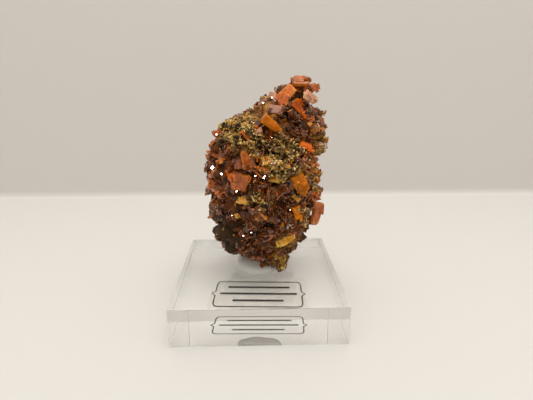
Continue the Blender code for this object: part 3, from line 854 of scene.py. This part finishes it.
# Lighter orange for the plates' edges: painted glow of light through their thin rims.
RIM_GLOW_ORANGE = (0.60, 0.15, 0.010, 1.0)
GLOW_TINT = (0.10, 0.022, 0.002)
FIERY_TINT = (0.42, 0.10, 0.006)
ROSY_TINT = (0.36, 0.17, 0.10)
BRIGHTEST_TINT = 0.7
BARE_TINTS = (  # share, colour
    (0.36, (0.034, 0.007, 0.002)),
    (0.28, (0.110, 0.020, 0.003)),
    (0.18, (0.360, 0.076, 0.004)),
    (0.10, (0.700, 0.230, 0.010)),
    (0.08, (0.140, 0.062, 0.045)),
)
BRIGHT_SPOTS = (  # where the plates are lighter: across, height, half width, half height
    (-12.6, 56.0, 3.6, 3.6),
    (-13.0, 50.0, 4.0, 5.0),
    (-13.5, 41.5, 3.0, 3.5),
    (-7.5, 47.5, 3.6, 3.0),
    (11.5, 30.0, 3.0, 2.4),
    (17.0, 52.0, 3.0, 5.0),
    (17.5, 41.0, 3.0, 4.0),
    (14.5, 49.0, 3.0, 3.0),
    (5.6, 67.2, 4.0, 2.6),
    (12.6, 70.0, 4.0, 2.6),
)
FIERY_SPOTS = (  # where they are orange-red
    (5.6, 67.2, 4.0, 2.2),
    (6.6, 70.6, 3.0, 1.8),
    (12.8, 70.4, 4.4, 2.2),
    (16.8, 67.6, 2.0, 2.0),
    (-14.8, 57.4, 2.0, 2.4),
    (-15.4, 52.4, 1.8, 3.0),
    (-13.8, 42.4, 1.6, 2.0),
    (12.2, 33.4, 1.6, 3.4),
)
ROSY_SPOTS = (  # where they are pinkish
    (3.0, 66.4, 3.4, 1.8),
    (6.4, 68.4, 2.4, 1.4),
    (14.6, 66.4, 2.0, 1.6),
    (2.6, 62.4, 2.0, 1.2),
)
DIM_SPOTS = (  # where they stand in the shade of a hollow
    (9.5, 61.0, 4.5, 3.5),
    (8.0, 33.0, 4.0, 4.0),
    (-3.0, 38.6, 5.0, 1.6),
    (4.4, 45.0, 2.6, 2.0),
    (-8.0, 36.0, 6.0, 2.0),
    (-1.0, 32.0, 6.0, 4.0),
)
GLINTS = (  # across, height, width of the plates that flash a lamp to the best side
    (-12.6, 46.9, 1.05),
    (-10.3, 46.0, 0.75),
    (-0.4, 45.6, 0.6),
    (1.9, 45.3, 0.6),
    (2.4, 46.9, 0.45),
    (-6.3, 41.6, 0.6),
    (-4.2, 27.8, 0.45),
    (-2.4, 27.9, 0.35),
    (4.6, 67.0, 0.4),
    (2.2, 65.0, 0.45),
    (-13.0, 56.0, 0.6),
    (-7.4, 34.4, 0.35),
    (9.2, 35.6, 0.35),
)
VIEWPOINT = (-1.0, -122.0, 72.2)
GLINT_RISE = 0.6
GLINT_THICK = 2.4
GLINT_HEART = (0.10, 0.03, 0.01)
# Lighter edge of the glint plates: painted glow of light through the thin rim.
GLINT_RIM_GLOW = (0.30, 0.09, 0.01)


def plate_shape(rim):
    """A thin square plate: flat faces of a share of its width, sloping to a sharp edge all round.
    Returns its points, with a half width of 1, and how near the edge each point is."""
    square = np.array([(-1, -1), (1, -1), (1, 1), (-1, 1)], float)
    layers = [np.c_[square * rim, np.full(4, -1.0)], np.c_[square, np.zeros(4)],
              np.c_[square * rim, np.full(4, 1.0)]]
    return np.concatenate(layers), np.repeat((0.15, 1.0, 0.15), 4)


def standing_axes(normals, lean, spin, rng):
    """Three axes of each plate: two in its flat, the first turned by a spin from the outward
    way, and the one it faces, which leans out of the rock by that share."""
    facing = unit(np.cross(normals, rng.normal(size=normals.shape)) * 0.7 + normals * lean[:, None])
    outward = unit(normals - facing * np.sum(normals * facing, axis=-1, keepdims=True))
    aside = np.cross(facing, outward)
    cosine, sine = np.cos(spin)[:, None], np.sin(spin)[:, None]
    return np.stack([outward * cosine + aside * sine, aside * cosine - outward * sine, facing], axis=1)


def turned_a_little(axes, amount, rng):
    """The same axes, each set turned by a small random angle and made square again."""
    shaken = axes + rng.normal(size=axes.shape) * amount
    facing = unit(shaken[:, 2])
    first = unit(shaken[:, 0] - facing * np.sum(shaken[:, 0] * facing, axis=-1, keepdims=True))
    return np.stack([first, np.cross(facing, first), facing], axis=1)


def flashing_plates(rng):
    """Middles, sizes and axes of the glint plates: on the nearest place of the front, raised a
    little, and facing half way between the first lamp and the viewpoint."""
    across, height, width = np.array(GLINTS).T
    off = (rock_points[..., 0, None] - across) ** 2 + (rock_points[..., 2, None] - height) ** 2
    off = off + 1000.0 * (rock_points[..., 1, None] > 0.0)
    places = np.argmin(off.reshape(-1, len(GLINTS)), axis=0)
    middles = (rock_points + rock_normals * GLINT_RISE).reshape(-1, 3)[places]
    facing = unit(unit(np.array(LAMPS[0][0]) - middles) + unit(np.array(VIEWPOINT) - middles))
    first = unit(np.cross(facing, rng.normal(size=facing.shape)))
    sizes = np.stack([width, width * 0.75, np.full_like(width, GLINT_THICK)], axis=-1) / 2
    return middles, sizes, np.stack([first, np.cross(facing, first), facing], axis=1)


plate_points, plate_edges = plate_shape(PLATE_RIM)
plate_faces = np.concatenate([sheet_faces(3, 4, closed=True), [(3, 2, 1, 0), (8, 9, 10, 11)]])
bright = np.maximum(soft_spots(rock_points, BRIGHT_SPOTS), back_patches(rock_points, 101, 0.3))
dim = soft_spots(rock_points, DIM_SPOTS)
rng = np.random.default_rng(PLATE_SEED)
bareness = (1.0 - 0.86 * crust) * (1.0 - 0.7 * ochre) * (1.0 - 0.8 * calm)
rows, columns = spread(PLATE_BUNCHES, bareness, rng)
bunch_axes = standing_axes(rock_normals[rows, columns], rng.uniform(0.0, 1.3, PLATE_BUNCHES),
                           rng.uniform(-0.9, 0.9, PLATE_BUNCHES), rng)
bunch_widths = PLATE_WIDTH[0] + (PLATE_WIDTH[1] - PLATE_WIDTH[0]) * rng.beta(1.4, 2.6, PLATE_BUNCHES)
plates = PLATE_BUNCHES * PLATES_EACH
up_stray = np.rint(rng.normal(0.0, PLATE_STRAY, plates)).astype(int)
side_stray = np.rint(rng.normal(0.0, PLATE_STRAY, plates)).astype(int)
rows = np.clip(np.repeat(rows, PLATES_EACH) + up_stray, 3, FINE_LEVELS - 4)
columns = (np.repeat(columns, PLATES_EACH) + side_stray) % FINE_AROUND
widths = np.repeat(bunch_widths, PLATES_EACH) * rng.uniform(0.5, 1.1, plates)
widths *= np.interp(rock_points[rows, columns, 2], *PLATE_FINENESS)
plate_sizes = np.stack([widths, widths * rng.uniform(0.7, 1.2, plates),
                        widths * PLATE_THICK * rng.uniform(0.7, 1.6, plates)], axis=-1) / 2
plate_normals = rock_normals[rows, columns]
plate_middles = rock_points[rows, columns] - plate_normals * (widths * 0.02)[:, None]
plate_axes = turned_a_little(np.repeat(bunch_axes, PLATES_EACH, axis=0), PLATE_UNEVENNESS, rng)
joined_points, joined_faces = joined_copies(plate_points[None] * plate_sizes[:, None, :],
                                            [plate_faces], plate_middles, plate_axes)
plate_tints = np.repeat(draw_tints(BARE_TINTS, PLATE_BUNCHES, rng, 0.3), PLATES_EACH, axis=0)
glow = bright[rows, columns][:, None]
plate_tints = plate_tints * (1.0 + glow) + np.array(GLOW_TINT) * glow
plate_tints = plate_tints * (1.0 - 0.6 * dim[rows, columns][:, None])
plate_tints = plate_tints * rng.uniform(0.5, 1.6, (plates, 1))
fiery = soft_spots(rock_points, FIERY_SPOTS)[rows, columns][:, None]
rosy = soft_spots(rock_points, ROSY_SPOTS)[rows, columns][:, None]
spot_tints = np.array(FIERY_TINT) * fiery + np.array(ROSY_TINT) * rosy
plate_tints = plate_tints + spot_tints * rng.uniform(0.2, 1.3, (plates, 1))
plate_tints /= np.maximum(plate_tints.max(axis=1, keepdims=True) / BRIGHTEST_TINT, 1.0)


def build_growth_group():
    """Node group for wulfenite: tints a crystal by its slow colour zones and lightens its edge as a
    painted glow of light through the thin rim, and gives the height of fine growth lines that run
    across its faces."""
    group, given, put_out = new_group(
        "wulfenite_growth", {"Heart": "Color", "Edge": "Color", "Place": "Vector",
                             "Edge Mask": "Float", "Tone": "Float"},
        {"Colour": "Color", "Height": "Float", "Haze": "Float"})
    zones = noise(group, given["Place"], 480.0, Detail=4.0, Distortion=0.6)
    lines = place_node(group, "ShaderNodeTexWave", {"Vector": given["Place"], "Scale": 520.0,
                                                    "Distortion": 3.0, "Detail": 2.0},
                       bands_direction="DIAGONAL")
    zone_shade = new_range(group, zones, 0.32, 0.68, 0.42, 1.45)
    shade = place_node(group, "ShaderNodeMath", {0: zone_shade, 1: given["Tone"]},
                       operation="MULTIPLY").outputs["Value"]
    # The edge colour is mixed in towards the rim: painted glow of light through the thin rim.
    rim_glowed = mix_colours(group, given["Edge Mask"], given["Heart"], given["Edge"])
    group.links.new(shaded(group, rim_glowed, shade), put_out["Colour"])
    group.links.new(lines.outputs["Fac"], put_out["Height"])
    group.links.new(new_range(group, zones, 0.35, 0.75), put_out["Haze"])
    return group


GROWTH = build_growth_group()


def wulfenite(tree, shader, heart, edge, clearness, gloss, shine, lines=0.35):
    """Finish of a wulfenite crystal: coloured growth zones, a lighter edge painted as the glow of
    light through its thin rim, growth lines of that strength and a strong glassy shine of its own
    tint. Gloss is the pair of roughness limits."""
    growth = place_node(tree, "ShaderNodeGroup", {}, node_tree=GROWTH)
    for socket, value in (("Heart", heart), ("Edge", edge), ("Place", object_coordinates(tree)),
                          ("Edge Mask", read_attribute(tree, "edge")),
                          ("Tone", read_attribute(tree, "tone"))):
        feed(tree, growth.inputs[socket], value)
    tree.links.new(growth.outputs["Colour"], shader.inputs["Base Color"])
    tree.links.new(new_range(tree, growth.outputs["Haze"], 0.0, 1.0, *gloss), shader.inputs["Roughness"])
    raised = place_node(tree, "ShaderNodeBump", {"Height": growth.outputs["Height"], "Strength": lines,
                                                 "Distance": 0.03 * MM})
    tree.links.new(raised.outputs["Normal"], shader.inputs["Normal"])
    shader.inputs["Transmission Weight"].default_value = clearness
    shader.inputs["IOR"].default_value = 1.8
    shader.inputs["Specular Tint"].default_value = (*shine, 1.0)


small_material, tree, shader = new_material("small_wulfenite")
small_tint = read_attribute(tree, "tint", "Color")
# The edge tint is lighter orange: painted glow of light through the thin rims.
rim_glow_tint = mix_colours(tree, 0.45, small_tint, RIM_GLOW_ORANGE)
wulfenite(tree, shader, small_tint, rim_glow_tint, 0.2, (0.03, 0.16), (1.0, 0.84, 0.74))
plate_mesh = new_mesh("small_plates", joined_points, *joined_faces)
add_attribute(plate_mesh, "edge", np.tile(plate_edges, len(plate_tints)))
add_attribute(plate_mesh, "tone", np.ones(len(joined_points)))
add_tints(plate_mesh, plate_tints, len(plate_points))
small_plates = show("small_plates", plate_mesh, small_material)
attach(small_plates, "root")

glint_material, tree, shader = new_material("glint_wulfenite")
wulfenite(tree, shader, (*GLINT_HEART, 1.0), (*GLINT_RIM_GLOW, 1.0), 0.1, (0.07, 0.08),
          (1.0, 0.95, 0.9), lines=0.0)
shader.inputs["IOR"].default_value = 2.3
glint_middles, glint_sizes, glint_axes = flashing_plates(rng)
glint_points, glint_faces = joined_copies(plate_points[None] * glint_sizes[:, None, :], [plate_faces],
                                          glint_middles, glint_axes)
glint_mesh = new_mesh("glint_plates", glint_points, *glint_faces)
add_attribute(glint_mesh, "edge", np.tile(plate_edges, len(GLINTS)))
add_attribute(glint_mesh, "tone", np.ones(len(glint_points)))
glint_plates = show("glint_plates", glint_mesh, glint_material)
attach(glint_plates, "root")

# Large wulfenite: tabular crystals that stand out of the crust, each rooted where the packed
# solid has it. A crystal is a stack of stepped growth layers with a sloping rim, and smaller
# plates of the same habit have grown on to it at slight angles.
CORE_LEVELS = 33
CORE_AROUND = 38
ROOT_DEPTH = 1.7
LEAST_RISE = 0.1
EDGE_POINTS = 6
OUTLINE_POINTS = 8 * EDGE_POINTS
LAYER_STEPS = 4
FACE_SHARE = 0.86
CRYSTAL_SEED = 111
GROWN_EACH = 3
GROWN_TILT = 0.22
CRYSTALS = (  # plates: across, height, azimuth, elevation, spin, width, length, thickness, taper
    ("crest_blade", ((8.4, 67.9, -14, 12, -44, 3.8, 5.8, 1.3, 0.1),
                     (7.4, 67.0, -24, 10, -36, 2.8, 3.8, 1.1, 0.0)), "salmon"),
    ("crest_cap", ((12.8, 71.6, 8, 48, -96, 4.4, 5.6, 1.6, 0.2),
                   (13.4, 72.4, 4, 78, 20, 2.8, 2.6, 1.4, 0.0)), "red"),
    ("crest_spur", ((18.8, 69.4, 34, 12, -79, 2.6, 4.0, 1.2, 0.3),), "salmon"),
    ("crest_pale_plate", ((14.8, 68.0, 14, 16, -124, 3.2, 4.6, 1.1, 0.2),), "pale"),
    ("crest_fin", ((12.1, 63.9, 20, 16, -149, 4.0, 6.8, 1.2, 0.85),), "red"),
    ("crest_left_upper", ((4.7, 67.7, -18, 30, -94, 2.2, 3.0, 1.0, 0.0),), "pale"),
    ("crest_left_lower", ((1.7, 65.7, -30, 24, -14, 2.8, 2.8, 1.1, 0.2),), "pale"),
    ("shoulder_crystal", ((3.0, 60.8, -4, 16, -127, 3.6, 6.2, 2.0, 0.5),
                          (4.6, 59.7, 4, 12, 40, 2.6, 3.0, 1.8, 0.0)), "amber"),
    ("shoulder_plate", ((4.9, 64.0, -4, 34, -98, 3.4, 4.6, 0.9, 0.1),), "mauve"),
    ("shoulder_shard", ((-3.3, 57.6, 16, 14, 37, 1.6, 3.8, 0.9, 0.2),), "red"),
    ("shoulder_needle", ((0.1, 58.6, 14, 16, -50, 1.3, 2.6, 0.8, 0.0),), "pale"),
    ("top_knob", ((-6.8, 63.2, -10, 50, 30, 1.8, 1.8, 1.2, 0.0),), "red"),
    ("left_shoulder_crystal", ((-15.0, 57.2, -40, 22, -117, 2.4, 2.8, 1.4, 0.2),), "red"),
    ("right_knob", ((13.1, 53.7, 8, 20, -110, 2.4, 4.2, 1.4, 0.25),
                    (13.6, 53.6, 8, 20, -70, 2.0, 2.6, 1.7, 0.0)), "red"),
    ("ridge_plates", ((20.0, 61.1, 40, 28, 18, 2.8, 5.4, 0.9, 0.1),
                      (19.9, 60.6, 40, 28, -12, 2.6, 4.4, 1.2, 0.1)), "mauve"),
    ("fan_plates", ((-3.0, 51.0, 50, 8, 12, 3.4, 4.6, 0.7, 0.1),
                    (-1.9, 50.6, 12, 16, 9, 2.2, 3.8, 0.8, 0.2)), "salmon"),
    ("left_fan_plate", ((-5.6, 49.6, -54, 16, 12, 3.0, 3.0, 0.9, 0.0),), "mauve"),
    ("yellow_crystal", ((2.7, 50.7, 14, 30, -98, 2.2, 3.4, 1.5, 0.2),), "ochre"),
    ("centre_plate", ((-5.6, 45.2, -8, 4, 170, 5.8, 5.2, 1.1, 0.35),
                      (-5.0, 45.4, -8, 4, 34, 3.0, 4.4, 1.7, 0.0)), "salmon"),
    ("ochre_lath", ((4.8, 45.1, 10, 40, -107, 2.0, 3.4, 1.1, 0.3),), "ochre"),
    ("amber_crystal", ((12.0, 44.2, 12, 2, -151, 4.4, 6.4, 1.9, 0.2),
                       (12.4, 43.9, 12, 2, -176, 3.0, 5.0, 1.6, 0.1)), "amber"),
    ("mauve_plate", ((8.4, 42.3, -10, 12, -17, 2.4, 2.4, 1.0, 0.0),), "mauve"),
    ("pale_blade", ((10.9, 39.2, 20, 26, -141, 1.6, 3.0, 0.9, 0.4),), "ochre"),
    ("slanted_lath", ((12.0, 49.6, -14, 26, -39, 1.6, 3.8, 0.9, 0.0),), "mauve"),
    ("long_lath", ((-4.3, 38.4, -6, 36, -107, 2.4, 4.4, 1.3, 0.3),), "ochre"),
    ("left_blade", ((-13.4, 42.8, -40, 2, -6, 2.4, 3.6, 1.0, 0.2),), "amber"),
    ("left_edge_plate", ((-18.0, 39.4, -60, 10, 30, 2.4, 1.8, 1.1, 0.0),), "salmon"),
    ("right_edge_crystal", ((19.4, 42.4, 50, 16, 24, 2.4, 2.8, 1.3, 0.2),), "amber"),
    ("lower_orange_crystal", ((11.1, 34.8, 12, 6, -167, 2.4, 4.6, 1.4, 0.4),), "amber"),
    ("red_flake", ((17.0, 29.7, 28, 6, 163, 4.8, 8.2, 1.5, 0.4),), "salmon"),
    ("bottom_yellow_crystal", ((8.6, 26.4, 4, 12, -57, 2.6, 5.6, 1.4, 0.2),
                               (7.0, 25.4, -16, 26, -66, 2.2, 4.0, 1.1, 0.0)), "ochre"),
    ("lower_left_cube", ((-6.1, 34.7, -12, 22, 30, 1.4, 1.4, 1.0, 0.0),), "ochre"),
    ("low_edge_plate", ((-9.6, 21.0, -40, 4, 20, 2.0, 2.0, 1.1, 0.2),), "amber"),
)
TONES = {  # how light a crystal is beside the others of its colour, where not 1
    "crest_blade": 1.7, "crest_cap": 0.65, "crest_spur": 0.85, "crest_fin": 1.2,
    "shoulder_crystal": 1.15, "shoulder_plate": 0.8, "crest_pale_plate": 1.25,
    "fan_plates": 0.75, "centre_plate": 0.75, "right_knob": 1.8, "lower_orange_crystal": 1.25,
    "red_flake": 0.98, "left_edge_plate": 0.7, "bottom_yellow_crystal": 1.2,
}
CRYSTAL_FINISHES = {  # heart colour, edge colour painted lighter as glow through the thin rim, clearness, roughness limits, tint of the shine
    "amber": ((0.58, 0.135, 0.002), (0.80, 0.26, 0.004), 0.35, (0.06, 0.20), (1.0, 0.5, 0.16)),
    "salmon": ((0.62, 0.14, 0.035), (0.82, 0.24, 0.020), 0.25, (0.12, 0.30), (1.0, 0.64, 0.45)),
    "red": ((0.60, 0.085, 0.004), (0.80, 0.19, 0.006), 0.30, (0.06, 0.22), (1.0, 0.5, 0.22)),
    "ochre": ((0.66, 0.28, 0.012), (0.88, 0.56, 0.12), 0.25, (0.10, 0.28), (1.0, 0.74, 0.40)),
    "mauve": ((0.25, 0.080, 0.040), (0.50, 0.14, 0.02), 0.20, (0.16, 0.32), (1.0, 0.66, 0.54)),
    "pale": ((0.70, 0.33, 0.19), (0.85, 0.45, 0.22), 0.20, (0.06, 0.20), (1.0, 0.84, 0.76)),
}


def core_surface():
    """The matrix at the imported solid's own fineness, to set the crystals' roots by."""
    core_height, core_angle = np.meshgrid(
        np.linspace(SECTIONS[0][0], SECTIONS[-1][0], CORE_LEVELS),
        np.linspace(0.0, 2.0 * math.pi, CORE_AROUND, endpoint=False), indexing="ij")
    points = matrix_points(core_height, core_angle).reshape(-1, 3)
    return BVHTree.FromPolygons(points.tolist(), sheet_faces(CORE_LEVELS, CORE_AROUND, True).tolist())


def facing_turn(azimuth, elevation, spin):
    """Rotation that points a crystal's flat face away from the rock: azimuth to the right of the
    viewer and elevation upwards, after a spin about the face's own axis."""
    upright = Matrix.Rotation(math.radians(90), 3, "X")
    tilt = Matrix.Rotation(math.radians(-elevation), 3, "X")
    swing = Matrix.Rotation(math.radians(azimuth), 3, "Z")
    return swing @ tilt @ upright @ Matrix.Rotation(math.radians(spin), 3, "Z")


def seat(surface, across, height, turn, size):
    """Middle of a crystal: on the rock in front of its place, lifted along the rock's outward
    way until only its lower end is rooted."""
    point, normal, _, _ = surface.ray_cast(Vector((across, -60.0, height)), Vector((0.0, 1.0, 0.0)))
    if point is None:
        point, normal, _, _ = surface.find_nearest(Vector((across, 0.0, height)))
    reach = sum(abs(turn.col[k].dot(normal)) * size[k] / 2 for k in range(3))
    return point + normal * max(reach - ROOT_DEPTH, LEAST_RISE * reach)


def crystal_outline(width, length, taper, rng):
    """Outline of a crystal: eight straight edges, four sides and four small cut corners, each a
    line at a slightly uneven distance, with even points along each from corner to corner. It
    narrows towards its far end by the taper."""
    lean = math.atan2(length, width)
    ways = np.array((0.0, lean, 0.5 * math.pi, math.pi - lean, math.pi, math.pi + lean,
                     1.5 * math.pi, 2.0 * math.pi - lean)) + rng.normal(0.0, 0.025, 8)
    half = np.array((width, np.hypot(width, length), length, np.hypot(width, length)) * 2) / 2
    distances = half * np.where(np.arange(8) % 2 == 0, rng.uniform(0.86, 1.0, 8),
                                rng.uniform(0.78, 0.96, 8))
    after, far = np.roll(ways, -1), np.roll(distances, -1)
    across = np.sin(after - ways)
    corners = np.stack([(distances * np.sin(after) - far * np.sin(ways)) / across,
                        (far * np.cos(ways) - distances * np.cos(after)) / across], axis=-1)
    steps = np.arange(EDGE_POINTS)[None, :, None] / EDGE_POINTS
    outline = corners[:, None] * (1.0 - steps) + np.roll(corners, -1, 0)[:, None] * steps
    outline = outline.reshape(-1, 2)
    narrowing = 1.0 - taper * np.clip(0.5 + outline[:, 1] / length, 0.0, 1.0)
    return outline * np.stack([narrowing, np.ones_like(narrowing)], axis=-1)


def crystal_surface(width, length, thick, taper, rng):
    """A stepped plate. From the middle of one face, rings of the outline grow in steps, each
    layer a little lower and set off to one side, then slope to the sharp edge and mirror
    below. Returns the points in rings, and how near the edge each ring is."""
    outline = crystal_outline(width, length, taper, rng)
    drift = rng.uniform(-0.35, 0.35, 2) * (width * (1.0 - taper), length)
    spots = np.sort(rng.uniform(0.3, FACE_SHARE - 0.05, LAYER_STEPS))
    rises = rng.uniform(0.02, 0.07, LAYER_STEPS)
    shares = [0.06]
    levels = [1.0 + rises.sum()]
    for spot, rise in zip(spots, rises):
        shares += [spot - 0.008, spot + 0.008]
        levels += [levels[-1], levels[-1] - rise]
    shares += [FACE_SHARE, 1.0]
    levels += [levels[-1], 0.0]
    shares = np.array(shares)
    levels = np.array(levels) / levels[0] * thick / 2
    face_shift = np.clip(FACE_SHARE - shares, 0.0, 1.0)[:, None] * drift
    flat = face_shift[:, None, :] + shares[:, None, None] * outline[None]
    rings = np.concatenate([flat, np.repeat(levels[:, None, None], len(outline), 1)], axis=-1)
    under = rings[-2::-1] * (1.0, 1.0, -1.0)
    nearness = np.clip((np.r_[shares, shares[-2::-1]] - 0.5) / 0.5, 0.0, 1.0) ** 1.5
    return np.concatenate([rings, under]), nearness


def one_crystal(size, middle, turn, rng):
    """Points and edge mask of one stepped plate, turned and moved to its place."""
    rings, nearness = crystal_surface(*size, rng)
    placed = rings.reshape(-1, 3) @ np.array(turn).T + np.array(middle)
    return placed, np.repeat(nearness, OUTLINE_POINTS)


def grown_on(size, middle, turn, rng):
    """A smaller plate grown on to a larger one: nearly parallel, off to one side of its face."""
    share = rng.uniform(0.30, 0.55)
    off = (rng.uniform(-0.42, 0.42) * size[0], rng.uniform(-0.42, 0.42) * size[1],
           rng.choice((-1.0, 1.0)) * size[2] * 0.35)
    tilt_x = Matrix.Rotation(rng.normal(0.0, GROWN_TILT), 3, "X")
    tilt = tilt_x @ Matrix.Rotation(rng.normal(0.0, GROWN_TILT), 3, "Y")
    small = (size[0] * share, size[1] * share, size[2] * rng.uniform(0.35, 0.7), size[3])
    return small, middle + turn @ Vector(off), turn @ tilt


crystal_materials = {}
for colour_name, (heart, rim_glow_colour, *finish) in CRYSTAL_FINISHES.items():
    crystal_materials[colour_name], tree, shader = new_material("wulfenite_" + colour_name)
    wulfenite(tree, shader, (*heart, 1.0), (*rim_glow_colour, 1.0), *finish)
ring_count = 2 * (2 * LAYER_STEPS + 3) - 1
ring_faces = sheet_faces(ring_count, OUTLINE_POINTS, closed=True)[:, ::-1]
ring_caps = end_caps(OUTLINE_POINTS, ring_count)[:, ::-1]
surface = core_surface()
for number, (name, plate_rows, colour_name) in enumerate(CRYSTALS):
    rng = np.random.default_rng(CRYSTAL_SEED + number)
    parts = []
    for across, height, azimuth, elevation, spin, *size in plate_rows:
        turn = facing_turn(azimuth, elevation, spin)
        middle = seat(surface, across, height, turn, size)
        parts.append(one_crystal(size, middle, turn, rng))
        for _ in range(GROWN_EACH):
            parts.append(one_crystal(*grown_on(size, middle, turn, rng), rng))
    shifts = np.arange(len(parts))[:, None, None] * ring_count * OUTLINE_POINTS
    crystal_mesh = new_mesh(name + "_crystal", np.concatenate([points for points, _ in parts]),
                            (ring_faces[None] + shifts).reshape(-1, 4),
                            (ring_caps[None] + shifts).reshape(-1, OUTLINE_POINTS))
    nearness = np.concatenate([near for _, near in parts])
    add_attribute(crystal_mesh, "edge", nearness)
    add_attribute(crystal_mesh, "tone", np.full(len(nearness), TONES.get(name, 1.0)))
    crystal = show(name + "_crystal", crystal_mesh, crystal_materials[colour_name])
    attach(crystal, "root")
    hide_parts(name)
